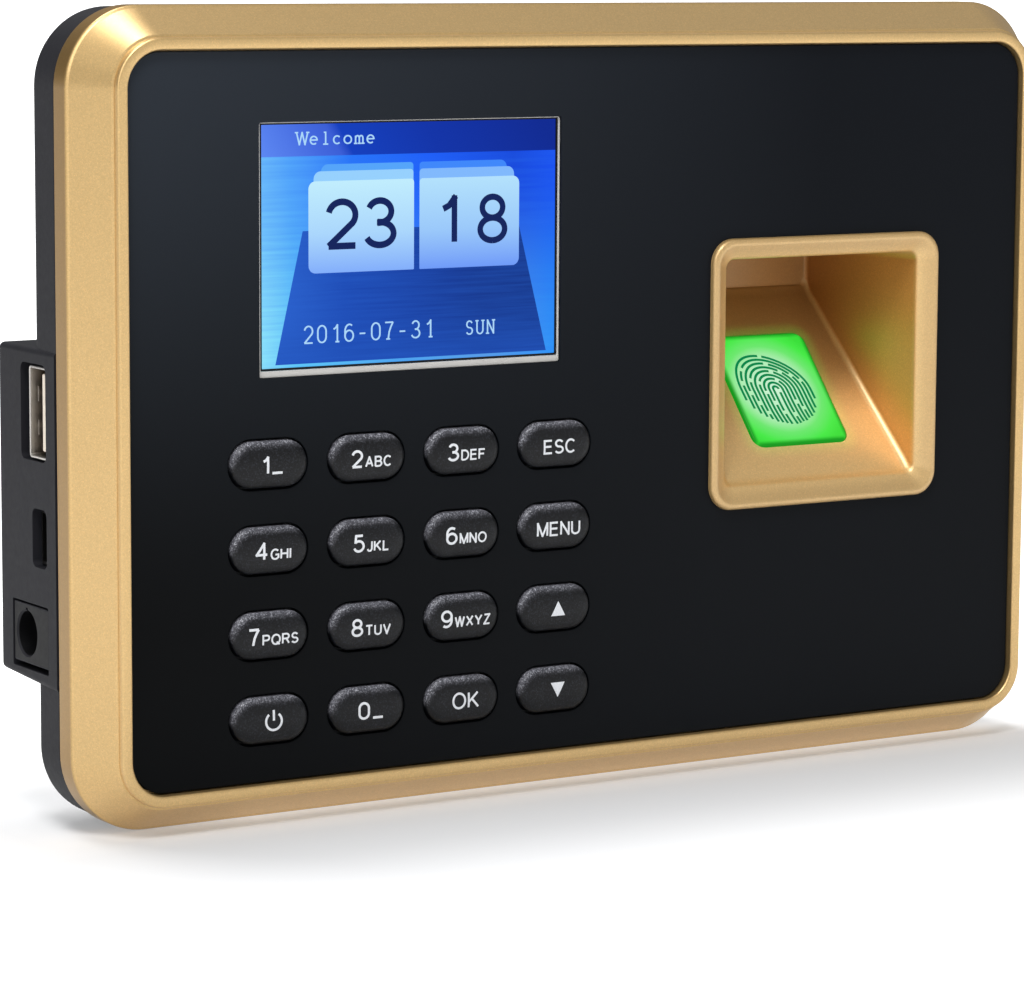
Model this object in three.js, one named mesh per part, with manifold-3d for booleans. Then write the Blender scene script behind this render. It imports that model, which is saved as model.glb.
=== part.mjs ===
// Wall-mounted fingerprint time terminal: gold bezel, black front panel with a display, a 4 x 4 keypad
// and a deep finger well, and a dark rear cover whose raised back carries the ports on its left side.
// Millimetres. +X right, +Z up, +Y towards the wall. The wall plane is y = 0, and x = z = 0 is the
// centre of the front panel.
import * as THREE from 'three';
import { mergeVertices } from 'three/addons/utils/BufferGeometryUtils.js';
import Module from 'manifold-3d';

const wasm = await Module();
wasm.setup();

// ---------- driving dimensions ----------
const WIDTH = 168;
const HEIGHT = 116.4;
const BORDER = 6.3;                  // bezel width between its outer side and the front panel
const PANEL_RADIUS = 5.2;
const FRONT = -30;                   // front face of the panel
const PANEL_THICKNESS = 2;
const FIT = 0.2;                     // clearance between parts that fit into each other
const WALL = 2;                      // moulded wall thickness

const LIP_FRONT = -23.5;             // front and rear edges of the bezel's side lip
const LIP_REAR = -19.9;
const COVER_FRONT = -19.6;
const COVER_BACK = -11.4;            // back of the rear cover beside its raised part
const RAISED_TOP = 10.1;             // the raised part of the back, around the ports
const RAISED_BOTTOM = -38.2;
const RAISED_RIGHT = 78;
const WELL_HOUSING_LEFT = 12;        // the raised part is taller behind the finger well
const WELL_HOUSING_TOP = 25;
const BACK_EDGE = 2;                 // rounding of the back edges

const WINDOW = { x: -32.1, z: 23.85, width: 50, height: 35.9 };      // display window
const KEY = { width: 12.2, height: 6.7, gap: 0.3, rise: 1.1, travel: 1.0, flange: 1.0, plunger: 1.9 };
const KEY_COLUMNS = [0, 1, 2, 3].map((i) => -55.85 + 15.92 * i);
const KEY_ROWS = [0, 1, 2, 3].map((i) => -6.2 - 12.2 * i);
const KEY_NAMES = [
  ['1', '2', '3', 'esc'],
  ['4', '5', '6', 'menu'],
  ['7', '8', '9', 'up'],
  ['power', '0', 'ok', 'down'],
];

const WELL = { x: 40.75, z: 2.4, width: 36.1, height: 34.75, radius: 2, rim: 3.2 };
const WELL_DEPTH = 24.5;             // from the panel's face to the well's rear wall
const WELL_NARROWING = 0.21;         // share of its width that the well loses at its rear wall
const RAMP_FOOT = { depth: 0.8, z: WELL.z - WELL.height / 2 };
const RAMP_HEAD_Z = 12.6;            // where the ramp meets the rear wall
const SENSOR = { x: 40.9, z: -1.9, width: 17.9, length: 20.8, proud: 0.3 };
const SENSOR_SHELL = { width: 21.8, length: 24.4, front: -1.8, back: -7.4, floor: 1.2 };

const BOARD_BACK = -16.8;            // the ports stand on the back of the main board
const BOARD_THICKNESS = 1.6;
const USB = { z: 1, width: 13.1, height: 5.7, length: 14.2 };
const MINI_USB = { z: -16.8, width: 7.7, height: 3.9, length: 9 };
const POWER_JACK = { z: -31, width: 8.6, height: 11.2, length: 13.6 };
const JACK_BORE = { radius: 3.2, y: -9.6, depth: 9.5, pinStart: 4.7 };
const PORT_MOUTH = -WIDTH / 2 + 0.3;  // front edge of the USB socket's shell
const SCREW = { x: 73.2, z: 47.4, head: 2.6, shank: 1.3 };
const KEYHOLE = { x: 62, z: -4, head: 4.3, slot: 2.3, rise: 7 };
const SPEAKER = { x: 41, z: 39.5, radius: 12.5 };
const KEY_MAT = { width: 62, height: 45.5, thickness: 1 };
const KEY_BOARD = { width: 66, height: 47.5, thickness: 1.6 };
const GLASS = { width: 49, height: 34.6, z: WINDOW.z + 0.4 };
const BATTERY = { x: -18, z: -15, width: 50, height: 34, back: -4 };
const COIN_CELL = { x: -62, z: -15.5, radius: 6.2, thickness: 1.75 };
const LABEL = { x: -25, z: -21, width: 42, height: 24, depth: 0.5 };
const CORNER_STEPS = 6;

const OUTER_RADIUS = PANEL_RADIUS + BORDER;
const PANEL_WIDTH = WIDTH - 2 * BORDER;
const PANEL_HEIGHT = HEIGHT - 2 * BORDER;

// ---------- shapes ----------
// Rounded rectangle in x and z, as a three.js shape.
function roundedRectangle(width, height, radius, x = 0, z = 0) {
  const shape = new THREE.Shape();
  const right = width / 2 - radius;
  const top = height / 2 - radius;
  shape.absarc(x + right, z + top, radius, 0, Math.PI / 2);
  shape.absarc(x - right, z + top, radius, Math.PI / 2, Math.PI);
  shape.absarc(x - right, z - top, radius, Math.PI, 1.5 * Math.PI);
  shape.absarc(x + right, z - top, radius, 1.5 * Math.PI, 2 * Math.PI);
  return shape;
}

// The same outline as a counter-clockwise list with a fixed number of points, for lofts and sweeps.
function outline(width, height, radius, steps = CORNER_STEPS) {
  const points = [];
  for (let corner = 0; corner < 4; corner += 1) {
    const sx = corner === 0 || corner === 3 ? 1 : -1;
    const sz = corner < 2 ? 1 : -1;
    for (let step = 0; step <= steps; step += 1) {
      const angle = (corner + step / steps) * Math.PI / 2;
      points.push([
        sx * (width / 2 - radius) + radius * Math.cos(angle),
        sz * (height / 2 - radius) + radius * Math.sin(angle),
      ]);
    }
  }
  return points;
}

function signedVolume(positions, triangles) {
  const [a, b, c] = [new THREE.Vector3(), new THREE.Vector3(), new THREE.Vector3()];
  let sum = 0;
  for (let i = 0; i < triangles.length; i += 3) {
    a.fromArray(positions, 3 * triangles[i]);
    b.fromArray(positions, 3 * triangles[i + 1]);
    c.fromArray(positions, 3 * triangles[i + 2]);
    sum += a.dot(b.cross(c));
  }
  return sum / 6;
}

// Indexed geometry whose faces point out.
function closedGeometry(positions, triangles) {
  const turned = [];
  for (let i = 0; i < triangles.length; i += 3) {
    turned.push(triangles[i], triangles[i + 2], triangles[i + 1]);
  }
  const outward = signedVolume(positions, triangles) > 0 ? triangles : turned;
  const geometry = new THREE.BufferGeometry();
  geometry.setAttribute('position', new THREE.Float32BufferAttribute(positions, 3));
  geometry.setIndex(outward);
  return geometry;
}

// Solid through a stack of convex outlines with the same number of points: [[y, points], ...].
function loft(sections) {
  const count = sections[0][1].length;
  const positions = sections.flatMap(([y, points]) => points.flatMap(([x, z]) => [x, y, z]));
  const triangles = [];
  for (let layer = 0; layer + 1 < sections.length; layer += 1) {
    for (let j = 0; j < count; j += 1) {
      const a = layer * count + j;
      const b = layer * count + (j + 1) % count;
      triangles.push(a, b + count, b, a, a + count, b + count);
    }
  }
  const last = (sections.length - 1) * count;
  for (let j = 1; j + 1 < count; j += 1) {
    triangles.push(0, j, j + 1);
    triangles.push(last, last + j + 1, last + j);
  }
  return closedGeometry(positions, triangles);
}

// Frame made by sweeping a closed section round a rounded rectangle. The section's points are
// [distance outside the rectangle, y].
function sweptFrame(width, height, radius, section) {
  const loops = section.map(([out, y]) => {
    const points = outline(width + 2 * out, height + 2 * out, radius + out);
    return points.flatMap(([x, z]) => [x, y, z]);
  });
  const count = loops[0].length / 3;
  const triangles = [];
  for (let k = 0; k < loops.length; k += 1) {
    const next = ((k + 1) % loops.length) * count;
    for (let j = 0; j < count; j += 1) {
      const turn = (j + 1) % count;
      triangles.push(k * count + j, next + turn, k * count + turn);
      triangles.push(k * count + j, next + j, next + turn);
    }
  }
  return closedGeometry(loops.flat(), triangles);
}

// Plate of a shape drawn in x and z, between two y values.
function plate(shape, y0, y1, options = {}) {
  const settings = { depth: y1 - y0, bevelEnabled: false, curveSegments: CORNER_STEPS, ...options };
  return new THREE.ExtrudeGeometry(shape, settings).rotateX(Math.PI / 2).translate(0, y1, 0);
}

function box([x0, x1], [y0, y1], [z0, z1]) {
  const geometry = new THREE.BoxGeometry(x1 - x0, y1 - y0, z1 - z0);
  return geometry.translate((x0 + x1) / 2, (y0 + y1) / 2, (z0 + z1) / 2);
}

// Box centred on a point in x and z.
function centredBox([x, z], width, height, depths) {
  return box([x - width / 2, x + width / 2], depths, [z - height / 2, z + height / 2]);
}

// Prism along x of a shape drawn in y and z.
function acrossX(shape, [x0, x1], z = 0) {
  const geometry = new THREE.ExtrudeGeometry(shape, { depth: x1 - x0, bevelEnabled: false });
  const turn = new THREE.Matrix4().makeBasis(
    new THREE.Vector3(0, 1, 0),
    new THREE.Vector3(0, 0, 1),
    new THREE.Vector3(1, 0, 0),
  );
  return geometry.applyMatrix4(turn).translate(x0, 0, z);
}

// Round bar along y.
function roundBar(radius, x, z, [y0, y1], sides = 16) {
  return new THREE.CylinderGeometry(radius, radius, y1 - y0, sides).translate(x, (y0 + y1) / 2, z);
}

// Round bar along x.
function crossBar(radius, [x0, x1], y, z, sides = 16) {
  const geometry = new THREE.CylinderGeometry(radius, radius, x1 - x0, sides).rotateZ(Math.PI / 2);
  return geometry.translate((x0 + x1) / 2, y, z);
}

// ---------- joining and cutting ----------
function solid(geometry) {
  const bare = geometry.clone();
  bare.deleteAttribute('normal');
  bare.deleteAttribute('uv');
  const merged = mergeVertices(bare, 1e-4);
  return new wasm.Manifold(new wasm.Mesh({
    numProp: 3,
    vertProperties: Float32Array.from(merged.attributes.position.array),
    triVerts: Uint32Array.from(merged.index.array),
  }));
}

function join(...geometries) {
  return geometries.map(solid).reduce((whole, piece) => whole.add(piece));
}

function cut(body, ...tools) {
  return tools.map(solid).reduce((rest, tool) => rest.subtract(tool), body);
}

function toGeometry(body) {
  const mesh = body.getMesh();
  const geometry = new THREE.BufferGeometry();
  geometry.setAttribute('position', new THREE.Float32BufferAttribute(mesh.vertProperties, 3));
  geometry.setIndex([...mesh.triVerts]);
  geometry.computeVertexNormals();
  return geometry;
}

// ---------- materials and scene graph ----------
const FINISHES = {
  gold: [0xd8b878, 0.35, 0.6],
  black: [0x1e2228, 0.4, 0],
  key: [0x303236, 0.55, 0],
  housing: [0x3c3c42, 0.6, 0],
  steel: [0xb9bcc0, 0.3, 0.9],
  cream: [0xe8dccb, 0.5, 0],
  display: [0x1b6fe0, 0.15, 0],
  greenGlass: [0x33dd44, 0.1, 0],
  board: [0x1c5c34, 0.5, 0],
  rubber: [0x77797c, 0.8, 0],
  cell: [0x2d5fa8, 0.5, 0],
  label: [0xc9cbcd, 0.4, 0.3],
  cable: [0xc07a35, 0.5, 0],
};

const terminal = new THREE.Group();

function add(name, shape, finish, parent = terminal) {
  const geometry = shape instanceof THREE.BufferGeometry ? shape : toGeometry(shape);
  const [color, roughness, metalness] = FINISHES[finish];
  const material = new THREE.MeshStandardMaterial({ color, roughness, metalness });
  const mesh = new THREE.Mesh(geometry, material);
  mesh.name = name;
  parent.add(mesh);
  return mesh;
}

// ---------- gold bezel ----------
// Section from the panel's edge outwards: a round bead, a slope down to the side lip, the lip, and
// behind them the hollow back and the ledge that the panel sits on.
function bezel() {
  const bead = [];
  const beadRadius = 0.95;
  for (let step = 0; step <= 5; step += 1) {
    const angle = Math.PI * (1 - step / 6);
    bead.push([beadRadius + beadRadius * Math.cos(angle), FRONT - beadRadius * Math.sin(angle)]);
  }
  const outside = BORDER - FIT / 2;
  const ledgeFront = FRONT + PANEL_THICKNESS + FIT;
  const ledgeBack = ledgeFront + 1.8;
  const section = [
    ...bead,
    [2 * beadRadius, FRONT - 0.2],
    [outside - 0.3, LIP_FRONT - 0.4],
    [outside, LIP_FRONT],
    [outside, LIP_REAR],
    [outside - WALL, LIP_REAR],
    [outside - WALL, LIP_FRONT + 0.6],
    [2, ledgeBack],
    [-1.8, ledgeBack],
    [-1.8, ledgeFront],
    [0, ledgeFront],
  ];
  const opening = [PANEL_WIDTH + FIT, PANEL_HEIGHT + FIT];
  const parts = [sweptFrame(...opening, PANEL_RADIUS + FIT / 2, section)];
  const pilots = [];
  for (const sx of [-1, 1]) {
    for (const sz of [-1, 1]) {
      const [x, z] = [sx * SCREW.x, sz * SCREW.z];
      parts.push(roundBar(3.2, x, z, [ledgeFront + 0.2, COVER_BACK - 4.4], 12));
      pilots.push(roundBar(SCREW.shank + 0.3, x, z, [-23, COVER_BACK], 10));
    }
  }
  return cut(join(...parts), ...pilots);
}

// ---------- front panel ----------
function panel() {
  const back = FRONT + PANEL_THICKNESS;
  const shape = roundedRectangle(PANEL_WIDTH - FIT, PANEL_HEIGHT - FIT, PANEL_RADIUS);
  shape.holes.push(roundedRectangle(WINDOW.width, WINDOW.height, 0.5, WINDOW.x, WINDOW.z));
  shape.holes.push(roundedRectangle(WELL.width + 3, WELL.height + 3, 0.3, WELL.x, WELL.z));
  const [width, height] = [KEY.width + 2 * KEY.gap, KEY.height + 2 * KEY.gap];
  for (const x of KEY_COLUMNS) {
    for (const z of KEY_ROWS) {
      shape.holes.push(roundedRectangle(width, height, height / 2 - 0.01, x, z));
    }
  }
  return solid(plate(shape, FRONT, back, { curveSegments: 3 }));
}

// ---------- keypad ----------
// Domed cap with round ends, a flange behind the panel and a short plunger.
function keyCap(x, z) {
  const stadium = (inset) => {
    const height = KEY.height - 2 * inset;
    return outline(KEY.width - 2 * inset, height, height / 2 - 0.02, 3).map(([u, v]) => [x + u, z + v]);
  };
  const flange = FRONT + PANEL_THICKNESS + FIT;
  return loft([
    [FRONT - KEY.rise, stadium(1.9)],
    [FRONT - KEY.rise + 0.15, stadium(0.9)],
    [FRONT - KEY.rise + 0.5, stadium(0.3)],
    [FRONT - KEY.rise + 1, stadium(0)],
    [flange, stadium(0)],
    [flange, stadium(-1)],
    [flange + KEY.flange, stadium(-1)],
    [flange + KEY.flange, stadium(1.6)],
    [flange + KEY.plunger, stadium(1.6)],
  ]);
}

function keypad() {
  KEY_ROWS.forEach((z, row) => {
    KEY_COLUMNS.forEach((x, column) => add(`key_${KEY_NAMES[row][column]}`, keyCap(x, z), 'key'));
  });
  const centreX = (KEY_COLUMNS[0] + KEY_COLUMNS[3]) / 2;
  const centreZ = (KEY_ROWS[0] + KEY_ROWS[3]) / 2;
  // Silicone mat with a low dome behind each plunger, clear of the plunger at full travel.
  const domeFront = FRONT + PANEL_THICKNESS + FIT + KEY.plunger + KEY.travel + 0.3;
  const domeHeight = 1;
  const matFront = domeFront + domeHeight - 0.2;
  const matBack = matFront + KEY_MAT.thickness;
  const matShape = roundedRectangle(KEY_MAT.width, KEY_MAT.height, 2, centreX, centreZ);
  const domes = KEY_COLUMNS.flatMap((x) => KEY_ROWS.map((z) => {
    const dome = new THREE.CylinderGeometry(3.2, 2.2, domeHeight, 8);
    return dome.translate(x, domeFront + domeHeight / 2, z);
  }));
  add('key_mat', join(plate(matShape, matFront, matBack), ...domes), 'rubber');
  const boardFront = matBack + 0.05;
  const boardShape = roundedRectangle(KEY_BOARD.width, KEY_BOARD.height, 1, centreX, centreZ);
  add('key_board', plate(boardShape, boardFront, boardFront + KEY_BOARD.thickness), 'board');
}

// ---------- display ----------
function display() {
  const { x, z } = WINDOW;
  const front = FRONT + 0.75;
  const panelBack = FRONT + PANEL_THICKNESS;
  const frameBack = panelBack + 2.4;
  const rimShape = roundedRectangle(WINDOW.width - 0.3, WINDOW.height - 0.3, 0.4, x, z);
  const flange = plate(roundedRectangle(54, 41, 1, x, z), panelBack + FIT, frameBack);
  const seat = centredBox([x, GLASS.z], GLASS.width + 0.2, GLASS.height + 0.2, [front - 1, panelBack + 1.4]);
  const lightPath = centredBox([x, z], 46, 32, [panelBack, panelBack + 4]);
  add('lcd_frame', cut(join(plate(rimShape, front, frameBack), flange), seat, lightPath), 'cream');
  const glassShape = roundedRectangle(GLASS.width, GLASS.height, 0.3, x, GLASS.z);
  add('lcd_glass', plate(glassShape, front + 0.05, panelBack + 1.35), 'display');
  const lamp = [frameBack + 0.05, frameBack + 1.8];
  add('lcd_backlight', centredBox([x, z], 50, 37, lamp), 'cream');
  // Flat ribbon from the back of the display down to the main board.
  const route = new THREE.Shape();
  route.moveTo(lamp[1] + 0.05, z + 4);
  route.lineTo(lamp[1] + 0.3, z + 4);
  route.lineTo(lamp[1] + 0.3, z - 8);
  route.lineTo(BOARD_BACK - BOARD_THICKNESS - 0.1, z - 14);
  route.lineTo(BOARD_BACK - BOARD_THICKNESS - 0.4, z - 14.3);
  route.lineTo(lamp[1] + 0.05, z - 8.1);
  add('lcd_ribbon', acrossX(route, [x - 9, x + 9]), 'cable');
}

// ---------- finger well and sensor ----------
const rampSlope = (WELL_DEPTH - RAMP_FOOT.depth) / (RAMP_HEAD_Z - RAMP_FOOT.z);
const rampAngle = Math.atan2(1, rampSlope);
const rampDepth = (z) => RAMP_FOOT.depth + rampSlope * (z - RAMP_FOOT.z);

// Wedge that narrows towards the wall, from its side outline of [depth, z] points.
function wedge(points, width) {
  const shape = new THREE.Shape(points.map(([depth, z]) => new THREE.Vector2(depth, z)));
  const geometry = new THREE.ExtrudeGeometry(shape, { depth: width, bevelEnabled: false });
  const position = geometry.attributes.position;
  for (let i = 0; i < position.count; i += 1) {
    const depth = position.getX(i);
    const side = position.getZ(i) - width / 2;
    const narrowed = side * (1 - WELL_NARROWING * depth / WELL_DEPTH);
    position.setXYZ(i, WELL.x + narrowed, FRONT + depth, position.getY(i));
  }
  return geometry;
}

function fingerWell() {
  const shell = 1.2;
  const bottom = WELL.z - WELL.height / 2;
  const top = WELL.z + WELL.height / 2;
  const outer = wedge([
    [RAMP_FOOT.depth, bottom - shell],
    [1.9, bottom - shell],
    [WELL_DEPTH + shell, RAMP_HEAD_Z - 0.8],
    [WELL_DEPTH + shell, top + shell - 0.3],
    [RAMP_FOOT.depth, top + shell],
  ], WELL.width + 2 * shell);
  const inner = wedge([
    [rampDepth(bottom - 2), bottom - 2],
    [WELL_DEPTH, RAMP_HEAD_Z],
    [WELL_DEPTH, top - 0.4],
    [-2, top],
    [-2, bottom - 2],
  ], WELL.width);
  const rim = sweptFrame(WELL.width, WELL.height, WELL.radius, [
    [0, FRONT + 0.8],
    [1.8, FRONT - 0.9],
    [2.2, FRONT - 1.15],
    [2.65, FRONT - 1.15],
    [3.05, FRONT - 0.85],
    [WELL.rim, FRONT - 0.4],
    [WELL.rim, FRONT - 0.05],
    [shell + 0.15, FRONT - 0.05],
    [shell + 0.15, FRONT + 2.7],
    [0.1, FRONT + 2.7],
  ]).translate(WELL.x, 0, WELL.z);
  const socket = new THREE.BoxGeometry(SENSOR.width + 0.6, SENSOR.length + 0.6, 12);
  socket.applyMatrix4(sensorPlace.matrix);
  const walls = cut(solid(outer), inner);
  return cut(walls.add(solid(rim)), socket);
}

// The sensor's own frame: x across, y up the ramp, z out of the ramp.
const sensorPlace = new THREE.Group();
sensorPlace.position.set(SENSOR.x, FRONT + rampDepth(SENSOR.z), SENSOR.z);
sensorPlace.rotation.x = rampAngle;
sensorPlace.updateMatrix();

function sensor() {
  const { width, length, proud } = SENSOR;
  const paneBack = -2.4;
  const pane = plate(roundedRectangle(width, length, 1.6), paneBack, proud).rotateX(Math.PI / 2);
  add('sensor_window', solid(pane), 'greenGlass', sensorPlace);
  const slab = (across, along, low, high) => {
    const geometry = new THREE.BoxGeometry(across, along, high - low);
    return geometry.translate(0, 0, (low + high) / 2);
  };
  const { front, back, floor } = SENSOR_SHELL;
  const shell = slab(SENSOR_SHELL.width, SENSOR_SHELL.length, back, front);
  const hollow = slab(width + 0.6, length + 0.6, back + floor, 0);
  add('sensor_housing', cut(solid(shell), hollow), 'black', sensorPlace);
  const boardFront = back + floor + 1.1;
  add('sensor_board', slab(15, 18, back + floor + 0.1, boardFront), 'board', sensorPlace);
  const lens = new THREE.CylinderGeometry(2.4, 3, 1.6, 16).rotateX(Math.PI / 2);
  add('sensor_lens', lens.translate(0, 0, boardFront + 0.9), 'steel', sensorPlace);
  for (const [side, name] of [[-1, 'sensor_lamp_left'], [1, 'sensor_lamp_right']]) {
    const lamp = slab(2, 2.8, boardFront + 0.1, boardFront + 1.1).translate(side * 6, 0, 0);
    add(name, lamp, 'greenGlass', sensorPlace);
  }
  terminal.add(sensorPlace);
}

// ---------- rear cover ----------
function raisedShape(inset) {
  const left = -WIDTH / 2 + inset;
  const right = RAISED_RIGHT - inset;
  const low = RAISED_BOTTOM + inset;
  const high = RAISED_TOP - inset;
  const tall = WELL_HOUSING_TOP - inset;
  const step = WELL_HOUSING_LEFT + inset;
  const round = 3;
  const shape = new THREE.Shape();
  shape.moveTo(left, low);
  shape.lineTo(right - round, low);
  shape.absarc(right - round, low + round, round, -Math.PI / 2, 0);
  shape.lineTo(right, tall - round);
  shape.absarc(right - round, tall - round, round, 0, Math.PI / 2);
  shape.lineTo(step + round, tall);
  shape.absarc(step + round, tall - round, round, Math.PI / 2, Math.PI);
  shape.lineTo(step, high);
  shape.lineTo(left, high);
  return shape;
}

function keyholeTools() {
  return [-1, 1].flatMap((side) => {
    const x = side * KEYHOLE.x;
    const slot = box([x - KEYHOLE.slot, x + KEYHOLE.slot], [-5, 1], [KEYHOLE.z, KEYHOLE.z + KEYHOLE.rise]);
    const end = roundBar(KEYHOLE.slot, x, KEYHOLE.z + KEYHOLE.rise, [-5, 1], 12);
    return [roundBar(KEYHOLE.head, x, KEYHOLE.z, [-5, 1]), slot, end];
  });
}

function speakerGrille() {
  return [-4, -3, -2, -1, 0, 1, 2, 3, 4].map((i) => {
    const reach = Math.sqrt((SPEAKER.radius - 1.5) ** 2 - (2.4 * i) ** 2);
    const x = SPEAKER.x + 2.4 * i;
    const range = [SPEAKER.z - reach, SPEAKER.z + reach];
    return box([x - 0.6, x + 0.6], [COVER_BACK - WALL - 1, COVER_BACK + 1], range);
  });
}

function rearCover() {
  const body = { width: WIDTH - 0.6, height: HEIGHT - 0.6, radius: OUTER_RADIUS - 0.3 };
  const section = (inset) => outline(body.width - 2 * inset, body.height - 2 * inset, body.radius - inset);
  const shell = loft([
    [COVER_FRONT, section(0)],
    [COVER_BACK - BACK_EDGE, section(0.15)],
    [COVER_BACK - 0.9, section(0.5)],
    [COVER_BACK - 0.25, section(1.15)],
    [COVER_BACK, section(BACK_EDGE)],
  ]);
  const bevel = { bevelEnabled: true, bevelSize: BACK_EDGE, bevelThickness: BACK_EDGE, bevelSegments: 3 };
  const raised = plate(raisedShape(BACK_EDGE), COVER_FRONT, -BACK_EDGE, bevel);
  const trim = box([-WIDTH, WIDTH], [COVER_FRONT - 5, COVER_FRONT], [-HEIGHT, HEIGHT]);
  const room = loft([
    [COVER_FRONT - 1, section(WALL)],
    [COVER_BACK - WALL - 1.5, section(WALL)],
    [COVER_BACK - WALL, section(WALL + 1.2)],
  ]);
  const raisedRoom = plate(raisedShape(WALL + 0.2), COVER_FRONT - 1, -WALL, { curveSegments: 4 });
  let cover = cut(cut(join(shell, raised), trim), room, raisedRoom);

  // Screw bosses with counterbores.
  for (const sx of [-1, 1]) {
    for (const sz of [-1, 1]) {
      const [x, z] = [sx * SCREW.x, sz * SCREW.z];
      cover = cover.add(solid(roundBar(4.5, x, z, [COVER_BACK - 4, COVER_BACK - WALL + 0.5], 14)));
      cover = cut(
        cover,
        roundBar(SCREW.head + 0.5, x, z, [COVER_BACK - 1.7, COVER_BACK + 1], 16),
        roundBar(SCREW.shank + 0.4, x, z, [COVER_BACK - 5, COVER_BACK], 12),
      );
    }
  }

  // Port openings in the left side.
  const side = [-WIDTH / 2 - 1, -WIDTH / 2 + WALL + 1];
  const usbHole = box(side, [BOARD_BACK + 0.1, -8.6], [USB.z - 6.9, USB.z + 6.9]);
  const miniHole = box(side, [BOARD_BACK + 0.1, -12], [MINI_USB.z - 4.2, MINI_USB.z + 4.2]);
  const jackHole = box(side, [-17, -5.1], [POWER_JACK.z - 5.1, POWER_JACK.z + 4.6]);
  const labelRecess = centredBox([LABEL.x, LABEL.z], LABEL.width, LABEL.height, [-LABEL.depth, 1]);
  return cut(cover, usbHole, miniHole, jackHole, labelRecess, ...keyholeTools(), ...speakerGrille());
}

function screws() {
  for (const [sx, side] of [[-1, 'left'], [1, 'right']]) {
    for (const [sz, level] of [[-1, 'lower'], [1, 'upper']]) {
      const [x, z] = [sx * SCREW.x, sz * SCREW.z];
      const seat = COVER_BACK - 1.7;
      const head = roundBar(SCREW.head, x, z, [seat + 0.05, COVER_BACK - 0.2]);
      const shank = roundBar(SCREW.shank, x, z, [-22.5, seat + 0.5], 12);
      const slot = [COVER_BACK - 0.9, COVER_BACK];
      const cross = [
        box([x - 1.6, x + 1.6], slot, [z - 0.3, z + 0.3]),
        box([x - 0.3, x + 0.3], slot, [z - 1.6, z + 1.6]),
      ];
      add(`screw_${level}_${side}`, cut(join(head, shank), ...cross), 'steel');
    }
  }
}

// ---------- ports ----------
function ports() {
  // USB socket: folded steel shell round a cream tongue.
  const seatY = BOARD_BACK + 0.35;
  const sheet = 0.4;
  const usbBar = (inset, x0, x1) => box(
    [x0, x1],
    [seatY + inset, seatY + USB.height - inset],
    [USB.z - USB.width / 2 + inset, USB.z + USB.width / 2 - inset],
  );
  const usbEnd = PORT_MOUTH + USB.length;
  const usbShell = solid(usbBar(0, PORT_MOUTH, usbEnd));
  add('usb_shell', cut(usbShell, usbBar(sheet, PORT_MOUTH - 1, usbEnd - 3)), 'steel');
  const tongueY = [seatY + 0.75, seatY + 2.65];
  add('usb_tongue', box([PORT_MOUTH + 0.6, usbEnd - 3.05], tongueY, [USB.z - 5.5, USB.z + 5.5]), 'cream');

  // Mini USB socket: shell with two sloping sides round a thin tongue.
  const miniShape = (inset) => {
    const half = MINI_USB.width / 2 - inset;
    const [low, high] = [seatY + inset, seatY + MINI_USB.height - inset];
    const shape = new THREE.Shape();
    shape.moveTo(low, -half + 0.9);
    shape.lineTo(low + 1.3, -half);
    shape.lineTo(high, -half);
    shape.lineTo(high, half);
    shape.lineTo(low + 1.3, half);
    shape.lineTo(low, half - 0.9);
    return shape;
  };
  const miniMouth = PORT_MOUTH + 0.9;
  const miniEnd = miniMouth + MINI_USB.length;
  const miniBody = solid(acrossX(miniShape(0), [miniMouth, miniEnd], MINI_USB.z));
  const miniHollow = acrossX(miniShape(0.35), [miniMouth - 1, miniEnd - 2], MINI_USB.z);
  add('mini_usb_shell', cut(miniBody, miniHollow), 'steel');
  const blade = box(
    [miniMouth + 1, miniEnd - 2.05],
    [seatY + 1.2, seatY + 2.1],
    [MINI_USB.z - 2.2, MINI_USB.z + 2.2],
  );
  add('mini_usb_tongue', blade, 'black');

  // Power jack: square block flush with the cover's side, round bore and centre pin.
  const { z, width, height, length } = POWER_JACK;
  const face = -WIDTH / 2 + 0.1;
  const jackY = [BOARD_BACK + 0.1, BOARD_BACK + 0.1 + height];
  const block = box([face, face + length], jackY, [z - width / 2, z + width / 2]);
  const boreEnd = face + JACK_BORE.depth;
  const bore = crossBar(JACK_BORE.radius, [face - 1, boreEnd], JACK_BORE.y, z, 20);
  add('power_jack', cut(solid(block), bore), 'black');
  const pin = crossBar(1, [face + JACK_BORE.pinStart, boreEnd - 0.05], JACK_BORE.y, z, 12);
  add('power_jack_pin', pin, 'steel');
}

// ---------- electronics ----------
// Round rechargeable cell in an open cup.
function coinCell(seat) {
  const { x, z, radius, thickness } = COIN_CELL;
  const cup = solid(roundBar(radius + 0.7, x, z, [seat, seat + 3]));
  const floor = seat + 0.8;
  add('coin_cell_holder', cut(cup, roundBar(radius + 0.3, x, z, [floor, seat + 4], 24)), 'cream');
  add('coin_cell', roundBar(radius, x, z, [floor + 0.05, floor + 0.05 + thickness], 24), 'steel');
}

// Round basket with a shallow cone, behind the grille in the rear cover.
function speaker() {
  const { x, z, radius } = SPEAKER;
  const magnet = { radius: 5.5, front: 3.2, back: 5.6 };
  const profile = [
    [0, magnet.back], [magnet.radius, magnet.back], [magnet.radius, magnet.front],
    [radius - 1, 2.2], [radius, 1.8], [radius, 0],
    [radius - 1, 0], [radius - 2, 0.9], [5, 2], [3.6, 1.2], [0, 0.9], [0, magnet.back],
  ];
  const basket = new THREE.LatheGeometry(profile.map(([r, depth]) => new THREE.Vector2(r, -depth)), 24);
  add('speaker', solid(basket.translate(x, COVER_BACK - WALL - 0.3, z)), 'black');
}

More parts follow.
